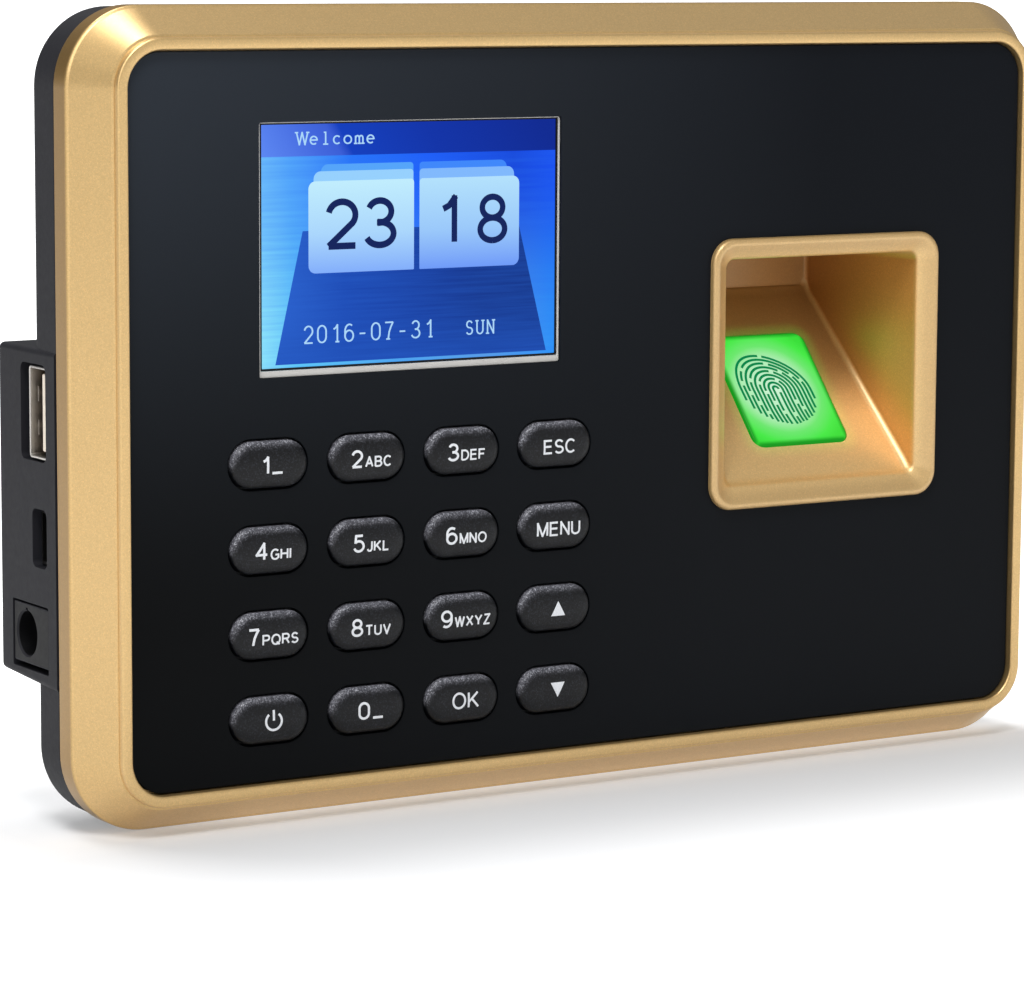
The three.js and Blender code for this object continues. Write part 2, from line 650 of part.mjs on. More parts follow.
function electronics() {
  const boardShape = roundedRectangle(93, 86, 1, -33.5, 0);
  add('main_board', plate(boardShape, BOARD_BACK - BOARD_THICKNESS, BOARD_BACK), 'board');
  const seat = BOARD_BACK + 0.05;
  const chip = (name, centre, width, height, thickness, finish) => {
    add(name, centredBox(centre, width, height, [seat, seat + thickness]), finish);
  };
  chip('processor', [-54, 25], 16, 16, 1.4, 'black');
  chip('memory_chip', [-34.5, 25.5], 11, 11, 1.2, 'black');
  chip('board_socket', [-13, 24.5], 14, 5, 2.8, 'cream');
  add('capacitor', roundBar(4, -62, -28, [seat, seat + 9.5], 20), 'steel');
  coinCell(seat + 0.05);
  const { x, z, width, height, back } = BATTERY;
  const batteryFront = BOARD_BACK + 2.5;
  add('battery', plate(roundedRectangle(width, height, 2, x, z), batteryFront, back), 'cell');
  add('battery_pad', centredBox([x, z], 46, 30, [BOARD_BACK + 0.1, batteryFront - 0.1]), 'rubber');
  speaker();
  const labelY = [-LABEL.depth + 0.05, -0.1];
  const label = centredBox([LABEL.x, LABEL.z], LABEL.width - 0.6, LABEL.height - 0.6, labelY);
  add('rating_label', label, 'label');
}

add('gold_bezel', bezel(), 'gold');
add('front_panel', panel(), 'black');
keypad();
display();
add('finger_well', fingerWell(), 'gold');
sensor();
add('rear_cover', rearCover(), 'housing');
screws();
ports();
electronics();

export default terminal;
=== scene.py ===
"""Fingerprint time terminal: the detailed surfaces, materials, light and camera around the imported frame.

Lengths are in millimetres in the functions below and become metres when a mesh is made. +X is right,
+Z is up and +Y points into the wall. Outlines are lists of (x, z) points seen from the front.
"""

from math import asin, atan2, cos, hypot, pi, radians, sin, sqrt, tan

import bmesh
import bpy
from mathutils import Matrix, Vector
from mathutils.geometry import tessellate_polygon


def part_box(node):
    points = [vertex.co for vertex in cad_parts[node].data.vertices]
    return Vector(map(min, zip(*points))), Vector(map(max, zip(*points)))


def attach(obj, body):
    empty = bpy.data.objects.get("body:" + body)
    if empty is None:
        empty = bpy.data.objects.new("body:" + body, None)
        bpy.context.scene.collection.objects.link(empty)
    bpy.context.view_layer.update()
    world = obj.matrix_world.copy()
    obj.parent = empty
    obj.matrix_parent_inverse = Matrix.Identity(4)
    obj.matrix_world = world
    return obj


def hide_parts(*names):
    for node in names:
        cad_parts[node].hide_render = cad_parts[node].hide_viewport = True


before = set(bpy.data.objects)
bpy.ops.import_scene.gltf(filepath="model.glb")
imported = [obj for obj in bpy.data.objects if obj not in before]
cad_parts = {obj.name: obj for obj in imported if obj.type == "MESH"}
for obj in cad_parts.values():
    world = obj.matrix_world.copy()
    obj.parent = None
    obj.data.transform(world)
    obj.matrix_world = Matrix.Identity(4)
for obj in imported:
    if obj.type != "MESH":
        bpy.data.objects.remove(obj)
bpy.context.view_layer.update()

MM = 0.001


def span(node):
    """Lowest and highest corner of a CAD node, in millimetres."""
    low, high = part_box(node)
    return low / MM, high / MM


def middle(node):
    low, high = span(node)
    return (low + high) / 2


# ---------- places and sizes taken from the frame ----------
BEZEL_LOW, BEZEL_HIGH = span("gold_bezel")
PANEL_LOW, PANEL_HIGH = span("front_panel")
COVER_LOW, COVER_HIGH = span("rear_cover")
FIT = 0.2
FACE = PANEL_LOW.y                       # front face of the panel
PANEL_BACK = PANEL_HIGH.y
WIDTH = BEZEL_HIGH.x - BEZEL_LOW.x
HEIGHT = BEZEL_HIGH.z - BEZEL_LOW.z
PANEL_WIDTH = PANEL_HIGH.x - PANEL_LOW.x + FIT
PANEL_HEIGHT = PANEL_HIGH.z - PANEL_LOW.z + FIT
BORDER = (WIDTH - PANEL_WIDTH) / 2
PANEL_RADIUS = 5.2
LIP_FRONT = FACE + 6.5                   # front and rear edge of the bezel's side lip
LIP_REAR = FACE + 10.1
CORNER_STEPS = 20

KEY_NAMES = [f"key_{key}" for key in "1 2 3 esc 4 5 6 menu 7 8 9 up power 0 ok down".split()]
KEY_FLANGE = 1.0                         # the flange behind the panel is this much wider all round
KEY_GAP = 0.3
KEY_LOW, KEY_HIGH = span("key_1")
KEY_WIDTH = KEY_HIGH.x - KEY_LOW.x - 2 * KEY_FLANGE
KEY_HEIGHT = KEY_HIGH.z - KEY_LOW.z - 2 * KEY_FLANGE

WINDOW = middle("lcd_frame")
WINDOW_SIZE = (50, 35.9)
GLASS_LOW, GLASS_HIGH = span("lcd_glass")

WELL_LOW, WELL_HIGH = span("finger_well")
WELL_RIM = 3.2
WELL_X = (WELL_LOW.x + WELL_HIGH.x) / 2
WELL_Z = (WELL_LOW.z + WELL_HIGH.z) / 2
WELL_WIDTH = WELL_HIGH.x - WELL_LOW.x - 2 * WELL_RIM
WELL_HEIGHT = WELL_HIGH.z - WELL_LOW.z - 2 * WELL_RIM
WELL_SHELL = 1.2
WELL_DEPTH = WELL_HIGH.y - FACE - WELL_SHELL
WELL_NARROWING = 0.21
RAMP_FOOT = 0.8                          # depth at which the ramp starts
RAMP_HEAD_Z = WELL_Z + 10.2              # height at which it meets the rear wall


# ---------- outlines ----------
def outline(width, height, radius, centre=(0, 0), steps=CORNER_STEPS):
    """Rounded rectangle, one corner after another, anticlockwise from the top right."""
    points = []
    for corner in range(4):
        side = 1 if corner in (0, 3) else -1
        level = 1 if corner < 2 else -1
        for step in range(steps + 1):
            angle = (corner + step / steps) * pi / 2
            x = centre[0] + side * (width / 2 - radius) + radius * cos(angle)
            points.append((x, centre[1] + level * (height / 2 - radius) + radius * sin(angle)))
    return points


def rounded_path(corners, steps=8):
    """Closed outline through (x, z, radius) corners, each rounded by its radius."""
    points = []
    for index, (x, z, radius) in enumerate(corners):
        here = Vector((x, z))
        before = (Vector(corners[index - 1][:2]) - here).normalized()
        after = (Vector(corners[(index + 1) % len(corners)][:2]) - here).normalized()
        half = before.angle(after) / 2
        centre = here + (before + after).normalized() * radius / sin(half)
        start = here + before * radius / tan(half) - centre
        turn = start.angle_signed(here + after * radius / tan(half) - centre)
        for step in range(steps + 1):
            angle = -turn * step / steps
            c, s = cos(angle), sin(angle)
            points.append((centre.x + c * start.x - s * start.y, centre.y + s * start.x + c * start.y))
    return points


def disc(radius, centre, steps):
    angles = [2 * pi * i / steps for i in range(steps)]
    return [(centre[0] + radius * cos(a), centre[1] + radius * sin(a)) for a in angles]


def quarter(steps):
    """Points of a quarter circle from (1, 0) to (0, 1), as (1 - sine, 1 - cosine)."""
    angles = [i / steps * pi / 2 for i in range(steps + 1)]
    return [(1 - sin(a), 1 - cos(a)) for a in angles]


# ---------- meshes ----------
def placed(name, data):
    """Object in the scene that shows the data."""
    obj = bpy.data.objects.new(name, data)
    bpy.context.scene.collection.objects.link(obj)
    return obj


def make(name, vertices, faces, material, sharp=35):
    """Mesh object from points in millimetres."""
    mesh = bpy.data.meshes.new(name)
    mesh.from_pydata([Vector(v) * MM for v in vertices], [], faces)
    bm = bmesh.new()
    bm.from_mesh(mesh)
    bmesh.ops.remove_doubles(bm, verts=bm.verts, dist=0.0005 * MM)
    bmesh.ops.recalc_face_normals(bm, faces=bm.faces)
    bm.to_mesh(mesh)
    bm.free()
    shade(mesh, sharp)
    mesh.materials.append(material)
    return placed(name, mesh)


def shade(mesh, sharp=35):
    mesh.shade_smooth()
    mesh.set_sharp_from_angle(angle=radians(sharp))


def even_normals(obj):
    """Keeps flat faces flat beside their rounded edges."""
    modifier = obj.modifiers.new("even_normals", "WEIGHTED_NORMAL")
    modifier.keep_sharp = True
    return obj


def join(name, objects):
    """One object from several, keeping each one's material."""
    bm = bmesh.new()
    joined = bpy.data.meshes.new(name)
    for obj in objects:
        slot = len(joined.materials)
        joined.materials.append(obj.data.materials[0])
        start = len(bm.faces)
        bm.from_mesh(obj.data)
        bm.faces.ensure_lookup_table()
        for face in bm.faces[start:]:
            face.material_index = slot
    bm.to_mesh(joined)
    bm.free()
    for obj in objects:
        bpy.data.objects.remove(obj)
    shade(joined)
    return placed(name, joined)


def boolean(target, tools, operation="DIFFERENCE"):
    """Cuts the tools out of target, or adds them to it, and removes them."""
    for tool in tools:
        modifier = target.modifiers.new("boolean", "BOOLEAN")
        modifier.operation = operation
        modifier.solver = "EXACT"
        modifier.object = tool
    graph = bpy.context.evaluated_depsgraph_get()
    result = bpy.data.meshes.new_from_object(target.evaluated_get(graph))
    target.modifiers.clear()
    target.data = result
    for tool in tools:
        bpy.data.objects.remove(tool)
    bm = bmesh.new()
    bm.from_mesh(result)
    bmesh.ops.dissolve_degenerate(bm, edges=bm.edges, dist=0.001 * MM)
    bm.to_mesh(result)
    bm.free()
    shade(result, 30)
    return target


def rings_to_faces(count, rings, closed=False):
    """Faces between neighbouring rings of count points each, and from the last to the first if closed."""
    faces = []
    for ring in range(rings if closed else rings - 1):
        following = (ring + 1) % rings
        for j in range(count):
            turn = (j + 1) % count
            here, there = ring * count, following * count
            faces.append((here + j, here + turn, there + turn, there + j))
    return faces


def solid(name, count, vertices, material, sharp):
    """Closed solid through a stack of rings of count points each."""
    faces = rings_to_faces(count, len(vertices) // count)
    faces.append(tuple(range(count)))
    faces.append(tuple(range(len(vertices) - count, len(vertices))))
    return make(name, vertices, faces, material, sharp)


def loft(name, sections, material, sharp=35):
    """Closed solid through a stack of (outline, y) sections."""
    vertices = [(x, y, z) for points, y in sections for x, z in points]
    return solid(name, len(sections[0][0]), vertices, material, sharp)


def swept_frame(name, size, radius, section, material, sharp):
    """Closed section of (distance outside the rectangle, y) points, swept round a rounded rectangle."""
    vertices = []
    for out, y in section:
        points = outline(size[0] + 2 * out, size[1] + 2 * out, radius + out)
        vertices += [(x, y, z) for x, z in points]
    count = len(vertices) // len(section)
    return make(name, vertices, rings_to_faces(count, len(section), True), material, sharp)


def plate(name, loops, front, back, material, bevel):
    """Flat plate with holes. Each loop is a function that gives its outline for an inset."""
    profile = [(bevel * inset, front + bevel * depth) for inset, depth in quarter(3)]
    profile += [(inset, front + back - y) for inset, y in reversed(profile)]
    vertices, faces, caps = [], [], ([], [])
    for loop in loops:
        start = len(vertices)
        count = len(loop(0))
        for inset, y in profile:
            vertices += [(x, y, z) for x, z in loop(inset)]
        faces += [tuple(start + i for i in face) for face in rings_to_faces(count, len(profile))]
        caps[0].append(range(start, start + count))
        caps[1].append(range(len(vertices) - count, len(vertices)))
    for cap in caps:
        ids = [i for loop in cap for i in loop]
        flat = [[Vector((vertices[i][0], vertices[i][2], 0)) for i in loop] for loop in cap]
        faces += [tuple(ids[i] for i in triangle) for triangle in tessellate_polygon(flat)]
    return even_normals(make(name, vertices, faces, material, 50))


def rectangle_loop(size, radius, centre=(0, 0), hole=False, steps=8):
    """Loop for plate(): a rounded rectangle as its outside or as a hole in it."""
    sign = 1 if hole else -1

    def loop(inset):
        grow = 2 * sign * inset
        return outline(size[0] + grow, size[1] + grow, max(radius + sign * inset, 0.01), centre, steps)

    return loop


def slab(name, size, radius, centre, front, back, material, bevel):
    return plate(name, [rectangle_loop(size, radius, centre)], front, back, material, bevel)


def ring_plate(name, size, wall, radii, centre, front, back, material, bevel):
    """Flat rectangular ring with a wall of even width; radii are those of its outside and its hole."""
    hole = (size[0] - 2 * wall, size[1] - 2 * wall)
    loops = [rectangle_loop(size, radii[0], centre), rectangle_loop(hole, radii[1], centre, hole=True)]
    return plate(name, loops, front, back, material, bevel)


def turned(name, profile, place, material, steps, sharp=35):
    """Solid of revolution from (radius, height) points; place puts its own z axis in the model."""
    circles = [(disc(radius, (0, 0), steps), height) for radius, height in profile]
    vertices = [place @ Vector((x, y, height)) for points, height in circles for x, y in points]
    return solid(name, steps, vertices, material, sharp)


def along_x(y, z):
    """Place for turned(): its axis points right."""
    return Matrix.Translation((0, y, z)) @ Matrix.Rotation(pi / 2, 4, "Y")


def moved(obj, place):
    """Moves a piece's vertices by a matrix in millimetres."""
    obj.data.transform(Matrix.Scale(MM, 4) @ place @ Matrix.Scale(1 / MM, 4))
    return obj


def finished(obj, body="housing"):
    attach(obj, body)


# ---------- materials ----------
def rgb(red, green, blue):
    """Scene colour of a display colour given as 0 to 255."""
    def one(value):
        value /= 255
        return value / 12.92 if value <= 0.04045 else ((value + 0.055) / 1.055) ** 2.4
    return (one(red), one(green), one(blue), 1)


class Shading:
    """Makes and links the nodes of a material or the world."""

    def __init__(self, tree):
        self.tree = tree

    def node(self, kind, **settings):
        made = self.tree.nodes.new("ShaderNode" + kind)
        for key, value in settings.items():
            setattr(made, key, value)
        return made

    def link(self, source, target):
        self.tree.links.new(source, target)

    def feed(self, socket, value):
        """Sets a socket to a constant or links it to another node's output."""
        if isinstance(value, bpy.types.NodeSocket):
            self.link(value, socket)
        else:
            socket.default_value = value

    def remap(self, source, start, end, low, high, kind="LINEAR"):
        """Maps start..end to low..high."""
        node = self.node("MapRange", interpolation_type=kind)
        ends = {"Value": source, "From Min": start, "From Max": end, "To Min": low, "To Max": high}
        for name, value in ends.items():
            self.feed(node.inputs[name], value)
        return node.outputs["Result"]

    def along(self, coordinate, direction):
        """How far a texture coordinate lies along a direction."""
        node = self.node("VectorMath", operation="DOT_PRODUCT")
        self.link(self.node("TexCoord").outputs[coordinate], node.inputs[0])
        node.inputs[1].default_value = direction
        return node.outputs["Value"]


class Finish(Shading):
    """A procedural material: a Principled shader and the nodes that drive it."""

    def __init__(self, name, colour, roughness, metallic=0.0, specular=0.5):
        self.material = bpy.data.materials.new(name)
        self.material.use_nodes = True
        super().__init__(self.material.node_tree)
        self.shader = self.tree.nodes["Principled BSDF"]
        self.set("Base Color", colour)
        self.set("Roughness", roughness)
        self.set("Metallic", metallic)
        self.set("Specular IOR Level", specular)
        self.place = self.node("TexCoord").outputs["Object"]
        self.relief = None

    def set(self, socket, value):
        self.shader.inputs[socket].default_value = value

    def drive(self, socket, source):
        self.link(source, self.shader.inputs[socket])

    def noise(self, size, detail, stretch=(1, 1, 1), roughness=0.5):
        """Noise whose features are about size millimetres across."""
        mapping = self.node("Mapping")
        mapping.inputs["Scale"].default_value = [axis / (size * MM) for axis in stretch]
        self.link(self.place, mapping.inputs["Vector"])
        texture = self.node("TexNoise")
        texture.inputs["Scale"].default_value = 1
        texture.inputs["Detail"].default_value = detail
        texture.inputs["Roughness"].default_value = roughness
        self.link(mapping.outputs["Vector"], texture.inputs["Vector"])
        return texture.outputs["Fac"]

    def cells(self, size):
        """Voronoi cells about size millimetres across: (distance, random colour)."""
        texture = self.node("TexVoronoi")
        texture.inputs["Scale"].default_value = 1 / (size * MM)
        self.link(self.place, texture.inputs["Vector"])
        return texture.outputs["Distance"], texture.outputs["Color"]

    def ramp(self, source, *stops):
        """Colour ramp with (position, red, green, blue) stops in scene colours."""
        ramp = self.node("ValToRGB")
        elements = ramp.color_ramp.elements
        while len(elements) < len(stops):
            elements.new(0.5)
        for element, (position, *colour) in zip(elements, stops):
            element.position = position
            element.color = (*colour, 1)
        self.link(source, ramp.inputs["Fac"])
        return ramp.outputs["Color"]

    def tones(self, source, *stops):
        """Colour ramp with (position, red, green, blue) stops in display colours."""
        return self.ramp(source, *[(position, *rgb(*colour)[:3]) for position, *colour in stops])

    def scale(self, source, low, high):
        """Maps 0..1 to low..high."""
        return self.remap(source, 0, 1, low, high)

    def between(self, source, low, high):
        """Maps low..high to 0..1, smoothly."""
        return self.remap(source, low, high, 0, 1, "SMOOTHSTEP")

    def mix(self, factor, first, second, mode="MIX"):
        node = self.node("Mix", data_type="RGBA", blend_type=mode)
        self.feed(node.inputs["Factor"], factor)
        colours = [socket for socket in node.inputs if socket.type == "RGBA"]
        for socket, value in zip(colours, (first, second)):
            self.feed(socket, (*value, 1) if isinstance(value, tuple) and len(value) == 3 else value)
        return next(socket for socket in node.outputs if socket.type == "RGBA")

    def tinted(self, factor, colour, tint):
        """The colour multiplied by a tint, as far as factor says."""
        return self.mix(factor, colour, self.mix(1.0, colour, tint, "MULTIPLY"))

    def math(self, operation, first, second=0.0):
        node = self.node("Math", operation=operation)
        for socket, value in zip(node.inputs, (first, second)):
            self.feed(socket, value)
        return node.outputs["Value"]

    def axis(self, name, start, end):
        """0..1 along an axis between two millimetre values."""
        split = self.node("SeparateXYZ")
        self.link(self.place, split.inputs["Vector"])
        return self.remap(split.outputs[name], start * MM, end * MM, 0, 1)

    def from_point(self, point, turn=0.0):
        """Object coordinates seen from a point in millimetres, turned round the x axis."""
        offset = self.node("Mapping", vector_type="TEXTURE")
        offset.inputs["Location"].default_value = point * MM
        offset.inputs["Rotation"].default_value = (turn, 0, 0)
        self.link(self.place, offset.inputs["Vector"])
        return offset.outputs["Vector"]

    def bump(self, source, depth, strength):
        """Adds relief of about depth millimetres."""
        node = self.node("Bump")
        node.inputs["Distance"].default_value = depth * MM
        node.inputs["Strength"].default_value = strength
        self.link(source, node.inputs["Height"])
        if self.relief is not None:
            self.link(self.relief, node.inputs["Normal"])
        self.relief = node.outputs["Normal"]
        self.drive("Normal", self.relief)


def gold_paint(name, shade_start, shade_end, shade_tint, metallic=0.88):
    """Satin champagne paint: fine metal flake in a clear binder, with a slight orange peel.
    It has painted shade: its colour darkens towards shade_tint between two distances from the front."""
    paint = Finish(name, rgb(218, 183, 118), 0.4, metallic=metallic, specular=0.5)
    paint.set("Coat Weight", 0.35)
    paint.set("Coat Roughness", 0.3)
    paint.set("Coat IOR", 1.9)
    _, flake_tint = paint.cells(0.14)
    light = paint.mix(paint.noise(0.35, 3), rgb(211, 173, 111), rgb(223, 189, 129))
    sparkle = paint.ramp(flake_tint, (0, 0.86, 0.86, 0.86), (0.75, 1, 1, 1), (1, 1.14, 1.13, 1.1))
    # painted shade: the colour darkens towards shade_tint from shade_start to shade_end
    painted_shade = paint.mix(paint.axis("Y", shade_start, shade_end), (1, 1, 1), shade_tint)
    flecked = paint.mix(1.0, light, sparkle, "MULTIPLY")
    paint.drive("Base Color", paint.mix(1.0, flecked, painted_shade, "MULTIPLY"))
    paint.drive("Roughness", paint.scale(paint.noise(0.8, 2), 0.37, 0.46))
    paint.bump(paint.noise(0.22, 2), 0.006, 0.6)
    paint.bump(paint.noise(1.6, 1), 0.01, 0.5)
    return paint


def black_panel():
    """Smooth black acrylic with faint cloudiness and a few fine dust marks. Its colour has a painted sheen:
    lighter towards the top left, where a soft light is reflected, and darkest at the bottom left.
    """
    finish = Finish("black_panel", rgb(14, 15, 18), 0.34, specular=0.05)
    # painted sheen and shade: the colour is lighter at the top left and darker at the bottom
    lower = finish.mix(finish.axis("X", PANEL_LOW.x, 20), rgb(6, 7, 8), rgb(16, 18, 21))
    upper = finish.mix(finish.axis("X", PANEL_LOW.x, 40), rgb(42, 47, 54), rgb(15, 18, 23))
    painted_sheen_fade = finish.between(finish.axis("Z", PANEL_LOW.z, PANEL_HIGH.z), 0.2, 1.15)
    finish.drive("Base Color", finish.mix(painted_sheen_fade, lower, upper))
    finish.drive("Roughness", finish.scale(finish.noise(9, 4), 0.3, 0.4))
    finish.bump(finish.noise(0.3, 2), 0.001, 0.3)
    return finish.material


def key_plastic():
    """Matt keycap with a fine sparkling texture and a painted highlight: its colour is lighter on the edges
    that face up and to the left, where the light from above catches them.
    """
    finish = Finish("key_plastic", rgb(34, 35, 39), 0.45, specular=0.25)
    _, tint = finish.cells(0.16)
    dark = finish.tones(tint, (0, 2, 2, 3), (0.6, 6, 7, 10), (1, 36, 38, 44))
    highlight_tones = finish.tones(tint, (0, 44, 44, 49), (0.6, 92, 92, 99), (1, 178, 178, 186))
    # painted highlight: lighter colour where the surface faces up and to the left
    painted_highlight = finish.between(finish.along("Normal", (-0.42, 0, 0.9)), 0.12, 0.72)
    finish.drive("Base Color", finish.mix(painted_highlight, dark, highlight_tones))
    finish.drive("Roughness", finish.scale(finish.noise(0.3, 2), 0.28, 0.42))
    finish.bump(finish.cells(0.22)[0], 0.03, 0.6)
    return finish.material


def legend_ink():
    finish = Finish("legend_ink", rgb(214, 216, 220), 0.5)
    worn = finish.mix(finish.noise(0.2, 2), rgb(196, 198, 203), rgb(226, 228, 231))
    finish.drive("Base Color", worn)
    finish.bump(finish.noise(0.12, 1), 0.004, 0.5)
    return finish.material


def moulded(name, dark, light, roughness, grain, depth, specular=0.4):
    """Moulded plastic with a fine spark-eroded texture."""
    finish = Finish(name, rgb(*dark), roughness, specular=specular)
    finish.drive("Base Color", finish.mix(finish.noise(grain * 6, 3), rgb(*dark), rgb(*light)))
    finish.drive("Roughness", finish.scale(finish.noise(grain * 3, 2), roughness - 0.06, roughness + 0.08))
    finish.bump(finish.noise(grain, 3, roughness=0.6), depth, 0.7)
    return finish.material


def steel(name="steel", brushed=(1, 1, 1), tone=(188, 190, 192), mouth=None):
    """Nickel-plated steel with fine rolling marks. Behind a socket's mouth, at x = mouth, it has painted
    shade: its colour darkens to brown inside the socket.
    """
    finish = Finish(name, rgb(*tone), 0.3, metallic=1.0)
    marks = finish.noise(0.4, 3, brushed)
    dull = tuple(int(value * 0.86) for value in tone)
    colour = finish.mix(marks, rgb(*dull), rgb(*tone))
    if mouth is not None:
        # painted shade inside the socket
        inside = finish.axis("X", mouth + 0.3, mouth + 2.2)
        colour = finish.tinted(inside, colour, (0.22, 0.17, 0.13))
    finish.drive("Base Color", colour)
    finish.drive("Roughness", finish.scale(marks, 0.22, 0.38))
    finish.bump(marks, 0.004, 0.5)
    return finish.material


def circuit_board():
    """Green solder mask over copper tracks."""
    finish = Finish("circuit_board", rgb(20, 84, 46), 0.32)
    brick = finish.node("TexBrick")
    brick.inputs["Scale"].default_value = 420
    brick.inputs["Mortar Size"].default_value = 0.012
    finish.link(finish.place, brick.inputs["Vector"])
    tracks = finish.mix(brick.outputs["Fac"], rgb(16, 74, 40), rgb(44, 124, 66))
    finish.drive("Base Color", finish.mix(finish.noise(3, 2), tracks, rgb(20, 80, 44)))
    finish.bump(brick.outputs["Fac"], 0.02, 0.5)
    return finish.material


def lit(name, colour, gloss=0.12):
    """Self-lit surface behind a glossy pane: colour is a fixed colour or a function of the finish."""
    finish = Finish(name, (0.0, 0.0, 0.0, 1), gloss, specular=0.04)
    if callable(colour):
        finish.drive("Emission Color", colour(finish))
    else:
        finish.set("Emission Color", colour)
    finish.set("Emission Strength", 1.0)
    return finish.material


# Painted shade on the side lip behind the slope, where the paint turns darker.
GOLD = gold_paint("gold_paint", LIP_FRONT - 0.4, LIP_FRONT + 0.2, (0.5, 0.42, 0.2)).material
PANEL_BLACK = black_panel()
KEY_BLACK = key_plastic()
INK = legend_ink()
HOUSING = moulded("dark_housing", (24, 24, 28), (32, 32, 37), 0.56, 0.3, 0.025, 0.2)
BLACK_PLASTIC = moulded("black_plastic", (9, 9, 10), (15, 15, 17), 0.45, 0.3, 0.012, 0.15)
PALE_GREY = moulded("screen_rim", (176, 174, 170), (192, 190, 186), 0.4, 0.4, 0.006, 0.2)
CREAM = moulded("cream_plastic", (226, 212, 194), (238, 226, 210), 0.42, 0.4, 0.008)
SILICONE = moulded("silicone", (112, 114, 118), (128, 130, 133), 0.75, 0.5, 0.01)
BATTERY_WRAP = moulded("battery_wrap", (36, 84, 158), (52, 104, 182), 0.35, 1.2, 0.03)
FLAT_CABLE = moulded("flat_cable", (176, 104, 40), (204, 128, 56), 0.4, 0.6, 0.01)
STEEL = steel()
SHELL_STEEL = steel("shell_steel", (1, 1, 0.12), (206, 202, 196), span("usb_shell")[0].x)
# Painted shade: a dark steel tone for the sockets' insides, used for the whole mini USB shell and the USB
# socket's back wall.
SHADED_STEEL = steel("shaded_steel", (1, 1, 0.12), (92, 90, 88))
FOIL = steel("label_foil", (0.15, 1, 1), (198, 200, 203))
BOARD = circuit_board()


# ---------- camera ----------
def camera():
    place = Vector((-323.433, -525.928, 66.162))
    right, down, tilt = radians(31.849), radians(7.802), radians(0.304)
    data = bpy.data.cameras.new("camera")
    data.lens = 141.388
    data.sensor_width = 36
    data.clip_start, data.clip_end = 0.01, 100
    matrix = Matrix.Translation(place * MM)
    for angle, axis in ((-right, "Z"), (pi / 2 - down, "X"), (tilt, "Z")):
        matrix = matrix @ Matrix.Rotation(angle, 4, axis)
    obj = placed("camera", data)
    obj.matrix_world = matrix
    bpy.context.scene.camera = obj


# ---------- gold bezel ----------
def bezel():
    start, end, crest = 0.1, 1.78, FACE - 1.15   # the raised land beside the panel
    inner, outer = 0.42, 0.36                # radii of its edges
    section = [(start, PANEL_BACK + 0.4)]
    section += [(start + inner * v, crest + 0.04 + inner * u) for u, v in quarter(5)]
    section.append(((start + end) / 2, crest))
    section += [(end - outer * u, crest + 0.05 + outer * v) for u, v in quarter(5)]
    section += [(end + 0.1, crest + 1.08), (end + 0.45, crest + 1.22)]
    turn, drop = BORDER - 0.55, 0.62         # the rounding from the slope to the lip
    section += [(turn + 0.45 * sin(i / 5 * pi / 2), LIP_FRONT - drop + drop * i / 5) for i in range(6)]
    outside = BORDER - 0.1
    section += [
        (outside, LIP_REAR - 0.25), (outside - 0.08, LIP_REAR - 0.08), (outside - 0.25, LIP_REAR),
        (outside - 2, LIP_REAR), (outside - 2, LIP_FRONT + 1.2), (2, PANEL_BACK + 2.2),
        (-1.8, PANEL_BACK + 2.2), (-1.8, PANEL_BACK + 0.4),
    ]
    border = swept_frame("bezel", (PANEL_WIDTH, PANEL_HEIGHT), PANEL_RADIUS, section, GOLD, 32)
    even_normals(border)
    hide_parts("gold_bezel")
    finished(border)


# ---------- front panel and keypad ----------
def front_panel():
    size = (PANEL_WIDTH - FIT, PANEL_HEIGHT - FIT)
    loops = [rectangle_loop(size, PANEL_RADIUS, steps=CORNER_STEPS)]
    loops.append(rectangle_loop(WINDOW_SIZE, 0.4, (WINDOW.x, WINDOW.z), hole=True))
    loops.append(rectangle_loop((WELL_WIDTH + 3, WELL_HEIGHT + 3), 0.4, (WELL_X, WELL_Z), hole=True))
    size = (KEY_WIDTH + 2 * KEY_GAP, KEY_HEIGHT + 2 * KEY_GAP)
    for name in KEY_NAMES:
        key = middle(name)
        loops.append(rectangle_loop(size, size[1] / 2 - 0.01, (key.x, key.z), hole=True, steps=12))
    panel = plate("panel", loops, FACE, PANEL_BACK, PANEL_BLACK, 0.16)
    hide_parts("front_panel")
    finished(panel)


def key_height(x, z):
    """Height of the keycap's surface over the panel at a point from the key's centre."""
    half = KEY_HEIGHT / 2
    along = max(abs(x) - (KEY_WIDTH / 2 - half), 0)
    inward = half - min(hypot(along, z), half)
    edge, edge_rise, crown = 1.15, 0.62, 0.42
    rounding = sqrt(1 - (1 - min(inward / edge, 1)) ** 2)
    return 0.06 + edge_rise * rounding + crown * (1 - (1 - inward / half) ** 2)


def keycap(name, key):
    half = KEY_HEIGHT / 2

    def section(inset, y):
        size = (KEY_WIDTH - 2 * inset, KEY_HEIGHT - 2 * inset)
        return outline(*size, half - inset - 0.01, (key.x, key.z), 12), y

    insets = [0, 0.02, 0.06, 0.13, 0.24, 0.4, 0.6, 0.85, 1.15, 1.5, 1.9, 2.3, 2.7, half - 0.25]
    sections = [section(inset, FACE - key_height(0, half - inset)) for inset in reversed(insets)]
    front = PANEL_BACK + FIT                 # front of the flange
    behind = ((0, front), (-KEY_FLANGE, front), (-KEY_FLANGE, front + 1))
    behind += ((1.6, front + 1), (1.6, KEY_HIGH.y))
    sections += [section(inset, y) for inset, y in behind]
    cap = loft(f"cap_{name}", sections, KEY_BLACK, 40)
    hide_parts(name)
    return cap


